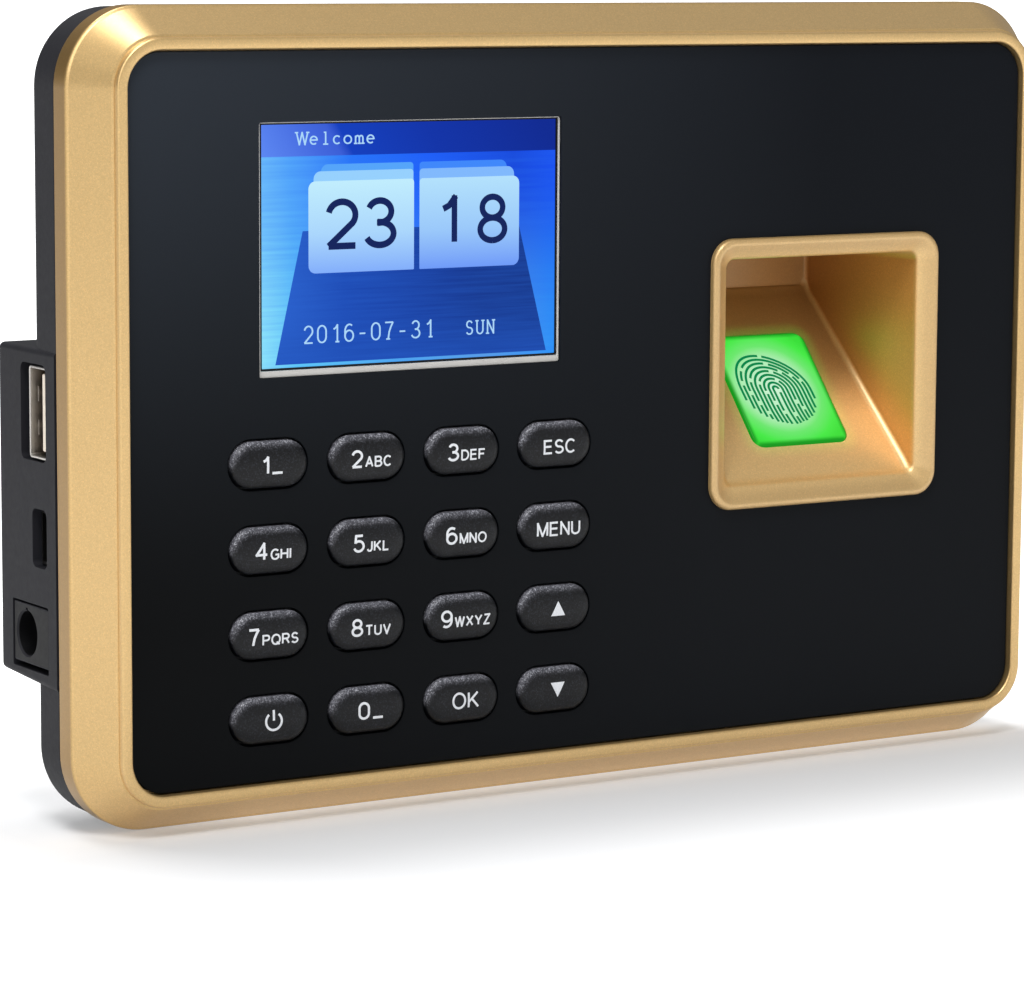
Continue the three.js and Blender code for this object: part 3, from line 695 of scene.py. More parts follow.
def strip(left, right):
    """Flat band between two edges with as many points each, as vertices and faces of a thin solid.
    A vertex is (x, z, side), with side -1 on the front and 1 on the back."""
    count = len(left)
    edge = list(left) + list(right)[::-1]
    total = 2 * count
    vertices = [(x, z, side) for side in (-1, 1) for x, z in edge]
    faces = [(i, (i + 1) % total, total + (i + 1) % total, total + i) for i in range(total)]
    for i in range(count - 1):
        j = total - 1 - i
        faces.append((i, i + 1, j - 1, j))
        faces.append((total + i, total + i + 1, total + j - 1, total + j))
    return vertices, faces


def ribbon(points, width):
    """Band of even width along a line of (x, z) points."""
    left, right = [], []
    for index, (x, z) in enumerate(points):
        before = Vector(points[max(index - 1, 0)])
        after = Vector(points[min(index + 1, len(points) - 1)])
        across = (after - before).normalized().orthogonal() * width / 2
        left.append((x + across.x, z + across.y))
        right.append((x - across.x, z - across.y))
    return strip(left, right)


def merged(shapes):
    vertices, faces = [], []
    for points, polygons in shapes:
        start = len(vertices)
        vertices += points
        faces += [tuple(start + i for i in polygon) for polygon in polygons]
    return vertices, faces


def finer(line, step=0.15):
    """The same line with points at an even spacing."""
    points = [line[0]]
    for start, end in zip(line, line[1:]):
        start, end = Vector(start), Vector(end)
        pieces = max(1, round((end - start).length / step))
        points += [tuple(start.lerp(end, i / pieces)) for i in range(1, pieces + 1)]
    return points


def bow(x, z, wide, tall, start, end):
    """Arc of an ellipse between two angles in degrees."""
    steps = max(4, round(abs(end - start) / 10))
    angles = [radians(start + (end - start) * i / steps) for i in range(steps + 1)]
    return [(x + wide * cos(a), z + tall * sin(a)) for a in angles]


# Plain lettering drawn with a pen: strokes for a capital height of 1.
GLYPHS = {
    "0": [bow(0.3, 0.66, 0.3, 0.34, 0, 180) + bow(0.3, 0.34, 0.3, 0.34, 180, 360) + [(0.6, 0.66)]],
    "1": [[(0, 0.76), (0.14, 0.83), (0.27, 1), (0.27, 0)]],
    "2": [bow(0.31, 0.7, 0.29, 0.3, 168, -38) + [(0.02, 0)], [(0.02, 0), (0.6, 0)]],
    "3": [bow(0.29, 0.75, 0.25, 0.25, 160, -90) + bow(0.29, 0.25, 0.3, 0.26, 90, -160)],
    "4": [[(0.46, 0), (0.46, 1), (0, 0.3), (0.64, 0.3)]],
    "5": [[(0.54, 1), (0.12, 1), (0.06, 0.52)], bow(0.28, 0.33, 0.3, 0.33, 138, -158)],
    "6": [bow(0.34, 0.6, 0.32, 0.4, 55, 180) + bow(0.32, 0.32, 0.3, 0.32, 180, -180)],
    "7": [[(0, 1), (0.58, 1)], [(0.57, 1), (0.42, 0.74), (0.3, 0.45), (0.22, 0)]],
    "8": [bow(0.3, 0.76, 0.25, 0.24, -90, 270), bow(0.3, 0.26, 0.3, 0.26, -90, 270)],
    "9": [bow(0.3, 0.68, 0.3, 0.32, 0, 360) + bow(0.28, 0.4, 0.32, 0.4, 0, -125)],
    "_": [[(0, 0), (0.62, 0)]],
    "-": [[(0, 0.42), (0.4, 0.42)]],
    "A": [[(0, 0), (0.35, 1), (0.7, 0)], [(0.12, 0.34), (0.58, 0.34)]],
    "B": [[(0, 0), (0, 1), (0.32, 1)] + bow(0.32, 0.76, 0.26, 0.24, 90, -90) + [(0, 0.52)],
          [(0, 0.52), (0.34, 0.52)] + bow(0.34, 0.26, 0.29, 0.26, 90, -90) + [(0, 0)]],
    "C": [bow(0.38, 0.5, 0.38, 0.5, 45, 315)],
    "D": [[(0, 0), (0, 1), (0.28, 1)] + bow(0.28, 0.5, 0.4, 0.5, 90, -90) + [(0, 0)]],
    "E": [[(0.6, 0), (0, 0), (0, 1), (0.58, 1)], [(0, 0.53), (0.54, 0.53)]],
    "F": [[(0, 0), (0, 1), (0.58, 1)], [(0, 0.52), (0.5, 0.52)]],
    "G": [bow(0.4, 0.5, 0.4, 0.5, 45, 320), [(0.72, 0.1), (0.72, 0.46), (0.42, 0.46)]],
    "H": [[(0, 0), (0, 1)], [(0.64, 0), (0.64, 1)], [(0, 0.52), (0.64, 0.52)]],
    "I": [[(0, 0), (0, 1)]],
    "J": [[(0.44, 1), (0.44, 0.26)] + bow(0.22, 0.26, 0.22, 0.26, 0, -170)],
    "K": [[(0, 0), (0, 1)], [(0.6, 1), (0, 0.36)], [(0.2, 0.58), (0.64, 0)]],
    "L": [[(0, 1), (0, 0), (0.52, 0)]],
    "M": [[(0, 0), (0, 1), (0.38, 0), (0.76, 1), (0.76, 0)]],
    "N": [[(0, 0), (0, 1), (0.62, 0), (0.62, 1)]],
    "O": [bow(0.4, 0.5, 0.4, 0.5, 0, 360)],
    "P": [[(0, 0), (0, 1), (0.34, 1)] + bow(0.34, 0.74, 0.27, 0.26, 90, -90) + [(0, 0.48)]],
    "Q": [bow(0.4, 0.5, 0.4, 0.5, 0, 360), [(0.48, 0.24), (0.78, -0.04)]],
    "R": [[(0, 0), (0, 1), (0.36, 1)] + bow(0.36, 0.75, 0.26, 0.25, 90, -90) + [(0, 0.5)],
          [(0.36, 0.5), (0.64, 0)]],
    "S": [bow(0.32, 0.75, 0.27, 0.25, 22, 270) + bow(0.32, 0.25, 0.3, 0.25, 90, -155)],
    "T": [[(0, 1), (0.64, 1)], [(0.32, 1), (0.32, 0)]],
    "U": [[(0, 1), (0, 0.3)] + bow(0.31, 0.3, 0.31, 0.3, 180, 360) + [(0.62, 1)]],
    "V": [[(0, 1), (0.34, 0), (0.68, 1)]],
    "W": [[(0, 1), (0.23, 0), (0.46, 1), (0.69, 0), (0.92, 1)]],
    "X": [[(0, 0), (0.64, 1)], [(0, 1), (0.64, 0)]],
    "Y": [[(0, 1), (0.34, 0.44), (0.68, 1)], [(0.34, 0.44), (0.34, 0)]],
    "Z": [[(0.03, 1), (0.6, 1), (0, 0), (0.62, 0)]],
    "c": [bow(0.3, 0.34, 0.28, 0.32, 45, 315)],
    "e": [[(0.02, 0.36), (0.56, 0.36)] + bow(0.3, 0.34, 0.28, 0.32, 5, 310)],
    "l": [[(0.16, 0.98), (0.3, 0.98), (0.3, 0)], [(0.1, 0), (0.5, 0)]],
    "m": [[(0.02, 0), (0.02, 0.64)], bow(0.18, 0.42, 0.15, 0.22, 170, 0) + [(0.33, 0)],
          bow(0.48, 0.42, 0.15, 0.22, 180, 0) + [(0.63, 0)]],
    "o": [bow(0.3, 0.34, 0.3, 0.32, 0, 360)],
}


def straight_runs(stroke, overlap):
    """Splits a stroke at its sharp corners into runs that overlap there."""
    runs, run = [], [Vector(stroke[0])]
    for before, here, after in zip(stroke, stroke[1:], stroke[2:]):
        before, here, after = Vector(before), Vector(here), Vector(after)
        if min((here - before).length, (after - here).length) < 1e-6:
            continue
        run.append(here)
        if abs((here - before).angle(after - here)) > radians(32):
            run[-1] = here + (here - before).normalized() * overlap
            runs.append(run)
            run = [here - (after - here).normalized() * overlap]
    run.append(Vector(stroke[-1]))
    return runs + [run]


def glyph_width(letter):
    return max(x for stroke in GLYPHS[letter] for x, _ in stroke)


def lettering(parts, baseline=0.0, widen=1.0, space=0.2, pitch=None, serif=0.0):
    """Pen strokes for (text, capital height, pen width) parts in a row, centred on x = 0, in millimetres.
    With a pitch, each character has a cell that wide; serif is the length of the ticks on its feet."""
    shapes, cursor = [], 0.0
    for text, height, pen in parts:
        tall = height - pen
        for letter in text:
            wide = glyph_width(letter) * tall * widen
            start = cursor + (pen / 2 if pitch is None else (pitch - wide) / 2)
            strokes = list(GLYPHS[letter])
            if serif:
                strokes += feet(strokes, serif / (tall * widen))
            for stroke in strokes:
                line = [(start + x * tall * widen, baseline + pen / 2 + z * tall) for x, z in stroke]
                for run in straight_runs(line, pen * 0.42):
                    shapes.append(ribbon(finer([tuple(p) for p in run], 0.2), pen))
            cursor += wide + pen + space * height if pitch is None else pitch
        cursor += 0.02 * height
    centre = (cursor - 0.02 * height - (space * height if pitch is None else 0)) / 2
    layered = []
    for index, (points, faces) in enumerate(shapes):
        layered.append(([(x - centre, z, side * (1 + 0.03 * (index % 9))) for x, z, side in points], faces))
    return merged(layered)


def feet(strokes, length):
    """Short ticks across the ends of the upright strokes."""
    ticks = []
    for stroke in strokes:
        for end, inner in ((stroke[0], stroke[1]), (stroke[-1], stroke[-2])):
            upright = abs(end[0] - inner[0]) < 0.5 * abs(end[1] - inner[1])
            if upright and end[1] in (0, 1):
                ticks.append([(end[0] - length / 2, end[1]), (end[0] + length / 2, end[1])])
    return ticks


def power_symbol():
    radius, pen = 1.26, 0.34
    ring = bow(0, -0.12, radius, radius, 90 + 38, 90 + 322)
    return merged([ribbon(ring, pen), ribbon(finer([(0, 0.0), (0, 1.5)]), pen)])


def triangle(up):
    """Arrowhead in rows, so that it can follow the cap's crown."""
    tip = 1.1 if up else -1.1
    rows = [0.02 + 0.98 * i / 10 for i in range(11)]
    left = [(-1.2 * share, tip * (1 - 2 * share)) for share in rows]
    return strip(left, [(-x, z) for x, z in left])


DIGIT = (2.6, 0.36)                      # character height and pen width
SMALL = (1.62, 0.26)
WORD = (2.15, 0.3)
LEGENDS = {"esc": (("ESC", *WORD),), "menu": (("MENU", *WORD),), "ok": (("OK", 2.5, 0.32),)}
for digit, letters in zip("1234567890", "_ ABC DEF GHI JKL MNO PQRS TUV WXYZ _".split()):
    LEGENDS[digit] = (digit, *DIGIT), (letters, *(DIGIT if letters == "_" else SMALL))


def legend_shape(key_name):
    if key_name == "power":
        return power_symbol()
    if key_name in ("up", "down"):
        return triangle(key_name == "up")
    return lettering(LEGENDS[key_name], baseline=-1.35, widen=1.16, space=0.12)


def legend(name, key):
    """Printed characters that follow the cap's crown."""
    points, faces = legend_shape(name.removeprefix("key_"))
    thickness = 0.03
    shift = 0.2                          # the print sits slightly right of the middle
    points = [(x + shift, z, side) for x, z, side in points]
    vertices = [(key.x + x, FACE - key_height(x, z) + side * thickness, key.z + z) for x, z, side in points]
    return make(f"legend_{name}", vertices, faces, INK, 30)


def keypad():
    for name in KEY_NAMES:
        key = middle(name)
        finished(keycap(name, key), name)
        finished(legend(name, key), name)


# ---------- display ----------
SCREEN_LEFT, SCREEN_RIGHT = GLASS_LOW.x - 0.1, GLASS_HIGH.x + 0.1
SCREEN_TOP, SCREEN_BOTTOM = GLASS_HIGH.z + 0.15, GLASS_LOW.z


def screen_x(share):
    return SCREEN_LEFT + share * (SCREEN_RIGHT - SCREEN_LEFT)


def screen_z(share):
    """Height on the screen from a share measured down from its top."""
    return SCREEN_TOP - share * (SCREEN_TOP - SCREEN_BOTTOM)


def streaked(finish, colour, size, most, tint):
    """The colour with fine level streaks of a tint."""
    streaks = finish.noise(size, 3, (0.03, 1, 1))
    return finish.mix(finish.scale(streaks, -0.1, most), colour, rgb(*tint))


def background_colour(finish):
    across = finish.axis("X", screen_x(0), screen_x(1))
    down = finish.axis("Z", screen_z(0), screen_z(1))
    upper = finish.tones(
        across, (0, 112, 194, 252), (0.1, 84, 170, 252), (0.3, 36, 117, 250),
        (0.55, 24, 92, 250), (0.85, 13, 66, 217), (1, 16, 76, 240),
    )
    lower = finish.tones(
        across, (0, 152, 242, 253), (0.12, 100, 210, 250), (0.45, 80, 170, 240),
        (0.75, 90, 160, 232), (1, 42, 150, 249),
    )
    shaded = finish.mix(finish.between(down, 0.2, 1.0), upper, lower)
    return streaked(finish, shaded, 0.5, 0.5, (40, 110, 240))


def bar_colour(finish):
    across = finish.axis("X", screen_x(0), screen_x(1))
    slope = finish.scale(finish.axis("Z", screen_z(0.14), screen_z(0)), 0.0, 0.06)
    return finish.tones(
        finish.math("ADD", across, slope), (0, 92, 136, 243), (0.2, 66, 104, 222),
        (0.27, 58, 94, 214), (0.31, 14, 62, 190), (0.6, 11, 50, 168), (1, 8, 40, 146),
    )


def card_colour(top, bottom):
    between = [int((2 * a + b) / 3) for a, b in zip(top, bottom)]

    def colour(finish):
        down = finish.axis("Z", screen_z(0.25), screen_z(0.62))
        return finish.tones(down, (0, *top), (0.55, *between), (1, *bottom))

    return colour


def floor_colour(finish):
    across = finish.axis("X", screen_x(0.05), screen_x(0.96))
    down = finish.axis("Z", screen_z(0.6), screen_z(0.97))
    glow = finish.tones(
        across, (0, 40, 96, 204), (0.25, 22, 70, 176), (0.5, 17, 58, 156),
        (0.75, 13, 48, 134), (1, 10, 46, 128),
    )
    shaded = finish.mix(finish.between(down, 0.3, 1.4), glow, rgb(26, 76, 178))
    return streaked(finish, shaded, 0.45, 0.45, (42, 104, 216))


def screen_plate(name, points, height, finish):
    """Thin self-lit shape on the screen; height sets its layer."""
    front, back = GLASS_LOW.y - 0.012 * height, GLASS_LOW.y + 0.02
    return loft(name, [(points, front), (points, back)], finish, 30)


def screen_text(name, parts, left, baseline, finish, **style):
    vertices, faces = lettering(parts, **style)
    shift, rise = screen_x(left) - min(v[0] for v in vertices), screen_z(baseline)
    points = []
    for x, z, side in vertices:
        proud = 0.07 - 0.02 * side if side < 0 else -0.02
        points.append((x + shift, GLASS_LOW.y - proud, rise + z))
    return make(name, points, faces, finish, 30)


def card(name, left, right, top, bottom, layer, finish, inner):
    """Flip card; inner is the side (-1 or 1) where its corners are square."""
    left, right, top, bottom = screen_x(left), screen_x(right), screen_z(top), screen_z(bottom)
    west, east = (0.12, 1.1) if inner < 0 else (1.1, 0.12)
    corners = [(left, bottom, west), (right, bottom, east)]
    corners += [(right, top, max(east, 0.5)), (left, top, max(west, 0.5))]
    return screen_plate(name, rounded_path(corners), layer, finish)


def on_screen(*shares):
    return [(screen_x(u), screen_z(v)) for u, v in shares]


def screen_image():
    """Everything that the screen shows: bar, flip clock, date and greeting."""
    bar = on_screen((0, 0), (1, 0), (1, 0.137), (0, 0.137))
    pieces = [screen_plate("bar", bar, 1, lit("bar_blue", bar_colour))]
    floor = on_screen((0.05, 0.98), (0.966, 0.98), (0.868, 0.44), (0.14, 0.44))
    pieces.append(screen_plate("floor", floor, 1, lit("floor_blue", floor_colour)))
    left_card = card_colour((192, 236, 253), (128, 172, 251))
    right_card = card_colour((178, 224, 252), (108, 152, 248))
    cards = (
        ("far_left", 0.2, 0.507, 0.172, 0.4, 2, rgb(84, 164, 249)),
        ("far_right", 0.528, 0.826, 0.172, 0.4, 2, rgb(62, 135, 250)),
        ("near_left", 0.176, 0.507, 0.2, 0.4, 3, rgb(150, 208, 253)),
        ("near_right", 0.528, 0.851, 0.2, 0.4, 3, rgb(128, 184, 252)),
        ("left", 0.159, 0.509, 0.24, 0.614, 4, left_card),
        ("right", 0.528, 0.869, 0.24, 0.614, 4, right_card),
    )
    for name, *edges, layer, colour in cards:
        inner = -1 if name.endswith("right") else 1
        pieces.append(card(name, *edges, layer, lit(f"card_{name}", colour), inner))
    navy = lit("digit_navy", rgb(16, 34, 92))
    pale = lit("text_pale", rgb(172, 216, 250))
    tall = screen_z(0.307) - screen_z(0.515)
    lines = (                                # text, height, pen width, left, baseline, colour, style
        ("23", tall, 0.96, 0.216, 0.52, navy, {"widen": 1.2, "space": 0.12}),
        ("1", tall, 0.92, 0.604, 0.52, navy, {"widen": 1.1}),
        ("8", tall, 0.92, 0.725, 0.52, navy, {"widen": 1.1}),
        ("Welcome", 1.9, 0.2, 0.115, 0.093, pale, {"pitch": 1.84, "widen": 1.15, "serif": 0.5}),
        ("2016-07-31", 2.6, 0.22, 0.143, 0.9, pale, {"pitch": 2.2, "widen": 0.94, "serif": 0.6}),
        ("SUN", 2.1, 0.2, 0.688, 0.898, pale, {"pitch": 1.8, "widen": 0.86, "serif": 0.5}),
    )
    for text, height, pen, left, baseline, ink, style in lines:
        pieces.append(screen_text(text, ((text, height, pen),), left, baseline, ink, **style))
    return join("screen_image", pieces)


def display():
    width, height = SCREEN_RIGHT - SCREEN_LEFT, SCREEN_TOP - SCREEN_BOTTOM
    centre = ((SCREEN_LEFT + SCREEN_RIGHT) / 2, (SCREEN_TOP + SCREEN_BOTTOM) / 2)
    finish = lit("screen_blue", background_colour)
    screen = slab("screen", (width, height), 0.3, centre, GLASS_LOW.y, GLASS_HIGH.y, finish, 0.05)
    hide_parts("lcd_glass")
    finished(screen)
    finished(screen_image())
    size = (WINDOW_SIZE[0] - 0.1, WINDOW_SIZE[1] - 0.1)
    loops = [rectangle_loop(size, 0.35, (WINDOW.x, WINDOW.z))]
    loops.append(rectangle_loop((width + 0.16, height + 0.16), 0.2, centre, hole=True))
    surround = plate("screen_surround", loops, FACE + 0.45, GLASS_HIGH.y, PALE_GREY, 0.08)
    size = (width + 0.1, height + 0.1)
    front, back = GLASS_LOW.y - 0.14, GLASS_LOW.y + 0.05
    edge = ring_plate("screen_edge", size, 0.3, (0.2, 0.1), centre, front, back, BLACK_PLASTIC, 0.02)
    surround = join("screen_frame", [surround, edge])
    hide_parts("lcd_frame")
    finished(surround)


# ---------- finger well and sensor ----------
RAMP_SLOPE = (WELL_DEPTH - RAMP_FOOT) / (RAMP_HEAD_Z - (WELL_Z - WELL_HEIGHT / 2))
RAMP_ANGLE = atan2(1, RAMP_SLOPE)
SENSOR_SIZE = (17.9, 20.8)
SENSOR_PROUD = 0.3
ICON_MIDDLE = (-0.9, -0.1)               # middle of the fingerprint icon in the window's plane
ICON_RADIUS = 6.75
SENSOR_BACK = 2.4
SENSOR_NORMAL = Vector((0, -sin(RAMP_ANGLE), cos(RAMP_ANGLE)))
SENSOR_ORIGIN = middle("sensor_window") + SENSOR_NORMAL * (SENSOR_BACK - SENSOR_PROUD) / 2
# Turns a plate that faces the front into the ramp's plane.
SENSOR_PLACE = Matrix.Translation(SENSOR_ORIGIN) @ Matrix.Rotation(RAMP_ANGLE - pi / 2, 4, "X")


def ramp_rise(depth):
    """Height of the ramp at a depth; a soft curve joins its foot to the rim."""
    curve = 1.1
    if depth > RAMP_FOOT + curve:
        return (depth - RAMP_FOOT) / RAMP_SLOPE
    return max(depth - RAMP_FOOT + curve, 0) ** 2 / (4 * curve * RAMP_SLOPE)


def well_section(depth, grow=0.0):
    """Inside of the well at a depth from the panel's face, grown outwards by grow."""
    share = max(depth, 0) / WELL_DEPTH
    width = WELL_WIDTH * (1 - WELL_NARROWING * share) + 2 * grow
    top = WELL_Z + WELL_HEIGHT / 2 - 0.4 * share + grow
    bottom = WELL_Z - WELL_HEIGHT / 2 + ramp_rise(depth) - grow
    radius = 1.5 - 0.4 * share + 0.72 * grow
    return outline(width, top - bottom, radius, (WELL_X, (top + bottom) / 2), 10), FACE + depth


def fillet(section, inset, rise):
    """The well's last section drawn in and brought forward, for the rounded edge round its rear wall."""
    points, y = section
    low, high = min(z for _, z in points), max(z for _, z in points)
    width = max(x for x, _ in points) - min(x for x, _ in points)
    return outline(width - 2 * inset, high - low - 2 * inset, 1.1, (WELL_X, (low + high) / 2), 10), y - rise


def from_window(finish):
    """Distances from the middle of the sensor window: across it, up it and out of it."""
    split = finish.node("SeparateXYZ")
    finish.link(finish.from_point(SENSOR_ORIGIN, RAMP_ANGLE), split.inputs["Vector"])
    return [finish.math("ABSOLUTE", split.outputs[axis]) for axis in "XYZ"]


def painted_green_spill(paint):
    """Painted light: the paint round the sensor window glows green, as if lit by the window."""
    across, up, height = from_window(paint)
    square = paint.math("POWER", height, 2.0)
    for distance, size in zip((across, up), SENSOR_SIZE):
        outside = paint.math("MAXIMUM", paint.math("SUBTRACT", distance, (size / 2 - 1.6) * MM), 0.0)
        square = paint.math("ADD", square, paint.math("POWER", outside, 2.0))
    spill = paint.between(paint.math("SQRT", square), 4.2 * MM, 1.4 * MM)
    # painted light: an emission on the paint itself
    paint.set("Emission Color", (0.1, 0.85, 0.08, 1))
    paint.drive("Emission Strength", paint.math("MULTIPLY", spill, 0.12))


def painted_well_shade(paint):
    """Painted shade: the right wall, which only sees light from inside the well, is tinted a deeper amber,
    and the rim's colour is darkened.
    """
    leftward = paint.between(paint.along("Normal", (-1, 0, 0)), 0.5, 0.9)
    wall = paint.math("MULTIPLY", leftward, paint.axis("Y", FACE + 0.2, FACE + 1.4))
    colour = paint.shader.inputs["Base Color"].links[0].from_socket
    colour = paint.tinted(wall, colour, (1, 0.72, 0.42))
    # painted shade on the rim
    rim = paint.axis("Y", FACE + 0.3, FACE - 0.5)
    paint.drive("Base Color", paint.tinted(rim, colour, (0.86, 0.84, 0.83)))


def finger_well():
    rim = [
        (3.2, -0.05), (3.2, -0.5), (3.13, -0.76), (2.98, -0.96), (2.76, -1.09), (2.5, -1.15),
        (2.26, -1.12), (2.05, -1.0), (0.42, 0.18), (0.2, 0.36), (0.06, 0.56), (0, RAMP_FOOT),
    ]
    rear = well_section(WELL_DEPTH)
    sections = [fillet(rear, inset, rise) for inset, rise in ((0.9, 0), (0.5, 0.06), (0.14, 0.4))]
    for depth in (WELL_DEPTH - 0.9, 20, 15, 10, 6, 3, 2.2, 1.9, 1.6, 1.3, 1.0):
        sections.append(well_section(depth))
    sections += [well_section(depth, out) for out, depth in reversed(rim)]
    back = WELL_DEPTH + WELL_SHELL
    sections += [well_section(depth, WELL_SHELL) for depth in (-0.05, 1.9, WELL_DEPTH - 2)]
    sections.append(well_section(back, WELL_SHELL - 0.2))
    # Painted shade in the finger well: the paint turns a darker amber towards the rear wall.
    paint = gold_paint("gold_paint_well", FACE + 7, FACE + WELL_DEPTH, (0.5, 0.38, 0.24), 0.55)
    painted_well_shade(paint)
    painted_green_spill(paint)
    well = loft("well", sections, paint.material, 34)
    size = (SENSOR_SIZE[0] + 0.24, SENSOR_SIZE[1] + 0.24)
    socket = slab("socket", size, 2.0, (0, 0), -6, 6, GOLD, 0.01)
    socket.modifiers.clear()
    boolean(well, [moved(socket, SENSOR_PLACE)])
    even_normals(well)
    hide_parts("finger_well")
    finished(well)


def window_colour(finish):
    """Saturated green with a pale glow behind the icon."""
    middle_of_icon = SENSOR_PLACE @ Vector((ICON_MIDDLE[0], 0, ICON_MIDDLE[1]))
    length = finish.node("VectorMath", operation="LENGTH")
    finish.link(finish.from_point(middle_of_icon), length.inputs["Vector"])
    distance = finish.math("DIVIDE", length.outputs["Value"], 12 * MM)
    glow = finish.tones(
        distance, (0, 214, 246, 220), (0.5, 178, 238, 182), (0.68, 112, 232, 114),
        (0.86, 72, 234, 72), (1, 58, 222, 58),
    )
    cloudy = finish.mix(finish.scale(finish.noise(2.5, 2), 0.0, 0.12), glow, rgb(60, 226, 70))
    across, up, _ = from_window(finish)
    beside = finish.math("SUBTRACT", across, SENSOR_SIZE[0] / 2 * MM)
    above = finish.math("SUBTRACT", up, SENSOR_SIZE[1] / 2 * MM)
    edge = finish.between(finish.math("MAXIMUM", beside, above), -1.1 * MM, -0.1 * MM)
    return finish.mix(edge, cloudy, rgb(22, 150, 30))


def fingerprint_lines():
    """Concentric loops round a core at (0, 0): an arch on top and two straight legs."""
    leg, steps = 7.6, 24
    lines = []
    for ridge in range(10):
        radius = 0.5 + 0.74 * ridge
        legs = [-leg * i / steps for i in range(steps + 1)]
        arch = [pi * (1 - i / steps) for i in range(1, steps)]
        line = [(-radius, z) for z in reversed(legs)]
        line += [(radius * cos(angle), radius * sin(angle)) for angle in arch]
        lines.append(line + [(radius, z) for z in legs])
    return lines


def leaning(point):
    """Place of a point of the loops in the window's plane: they sway and lean to the left."""
    x, z = point
    sway = 0.45 * sin((z + 1.5) * 0.38)
    return (ICON_MIDDLE[0] + x + sway - 0.2 * z, ICON_MIDDLE[1] + z - 0.05 * x)


def dashes(line, ridge):
    """Parts of a ridge inside the icon's round outline, with two or three gaps."""
    parts, part = [], []
    travelled = 0.0
    gap_at = [3.2 + 1.9 * ((ridge * 5) % 4), 9.5 + 2.3 * ((ridge * 3) % 5), 17 + 1.7 * ((ridge * 7) % 5)]
    for index, point in enumerate(line):
        if index:
            travelled += (Vector(point) - Vector(line[index - 1])).length
        in_gap = any(abs(travelled - place) < 0.26 for place in gap_at)
        if hypot(*point) < ICON_RADIUS and not in_gap:
            part.append(leaning(point))
        elif part:
            parts.append(part)
            part = []
    if part:
        parts.append(part)
    return [part for part in parts if len(part) > 2]


def sensor():
    finish = lit("sensor_green", window_colour, 0.1)
    pane = slab("pane", SENSOR_SIZE, 1.9, (0, 0), -SENSOR_PROUD, SENSOR_BACK, finish, 0.45)
    moved(pane, SENSOR_PLACE)
    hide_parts("sensor_window")
    finished(pane)
    shapes = []
    for ridge, line in enumerate(fingerprint_lines()):
        for part in dashes(finer(line), ridge):
            shapes.append(ribbon(part[::2] if len(part) > 6 else part, 0.42))
    vertices, faces = merged(shapes)
    depths = {-1: -SENSOR_PROUD - 0.03, 1: -SENSOR_PROUD + 0.05}
    ink = lit("ridge_green", rgb(0, 134, 76), 0.2)
    icon = make("fingerprint_icon", [(x, depths[side], z) for x, z, side in vertices], faces, ink, 30)
    moved(icon, SENSOR_PLACE)
    finished(icon)


# ---------- rear cover ----------
COVER_FRONT = COVER_LOW.y
COVER_BACK = COVER_HIGH.y - 11.4         # back of the cover beside its raised part
WALL = 2
RAISED = {"left": COVER_LOW.x, "right": 78, "low": -38.2, "high": 10.1, "step": 12, "tall": 25}
USB_LOW, USB_HIGH = span("usb_shell")
MINI_LOW, MINI_HIGH = span("mini_usb_shell")
JACK_LOW, JACK_HIGH = span("power_jack")
KEYHOLES = (-62, 62)
SPEAKER = middle("speaker")
LABEL_LOW, LABEL_HIGH = span("rating_label")
LABEL_SIZE = (LABEL_HIGH.x - LABEL_LOW.x, LABEL_HIGH.z - LABEL_LOW.z)
LABEL_CENTRE = ((LABEL_LOW.x + LABEL_HIGH.x) / 2, (LABEL_LOW.z + LABEL_HIGH.z) / 2)


def raised_outline(inset, draft=0.0):
    low, high = RAISED["low"] + inset + draft, RAISED["high"] - inset
    left, right = RAISED["left"] + inset, RAISED["right"] - inset
    step, tall = RAISED["step"] + inset, RAISED["tall"] - inset
    small, large = max(0.9 - inset, 0.05), max(3 - inset, 0.05)
    return rounded_path([
        (left, low, small), (right, low, large), (right, tall, large),
        (step, tall, large), (step, high, 1.5 + inset), (left, high, small),
    ])


def raised_part(name, inset, front, back, rounding):
    """The raised part of the back, with its underside drawn in slightly towards the wall."""
    draft = 0.9
    sections = [(raised_outline(inset), front)]
    for rise, turn in quarter(6):
        sections.append((raised_outline(inset + rounding * turn, draft), back - rounding * rise))
    return loft(name, sections, HOUSING, 30)


def bar_along_x(name, points, x0, x1):
    """Prism between two x values of an outline of (y, z) points."""
    vertices = [(x, y, z) for x in (x0, x1) for y, z in points]
    return solid(name, len(points), vertices, HOUSING, 30)


def yz_outline(low, high, radius, steps=6):
    centre = ((low[0] + high[0]) / 2, (low[1] + high[1]) / 2)
    return outline(high[0] - low[0], high[1] - low[1], radius, centre, steps)


def bar_along_y(name, points, front, back):
    return loft(name, [(points, front), (points, back)], HOUSING, 30)


def keyhole_cutter(index, x):
    head, slot, rise, z = 4.3, 2.3, 7, -4    # radii of head and slot, the slot's rise, the head's height
    turn = asin(slot / head)
    round_head = [turn + (2 * pi - 2 * turn) * i / 40 for i in range(41)]
    slot_end = [pi * i / 16 for i in range(17)]
    points = [(x + head * sin(a), z + head * cos(a)) for a in round_head]
    points += [(x - slot * cos(a), z + rise + slot * sin(a)) for a in slot_end]
    return bar_along_y(f"keyhole_{index}", points, -5, 1)


def grille_cutters():
    cutters = []
    radius = 11
    for index in range(-4, 5):
        reach = sqrt(radius ** 2 - (2.4 * index) ** 2)
        points = outline(1.2, 2 * reach, 0.59, (SPEAKER.x + 2.4 * index, SPEAKER.z), 5)
        cutters.append(bar_along_y(f"grille_{index}", points, COVER_BACK - WALL - 1, COVER_BACK + 1))
    return cutters


def screw_places():
    for name in ("screw_lower_left", "screw_lower_right", "screw_upper_left", "screw_upper_right"):
        place = middle(name)
        yield name, place.x, place.z


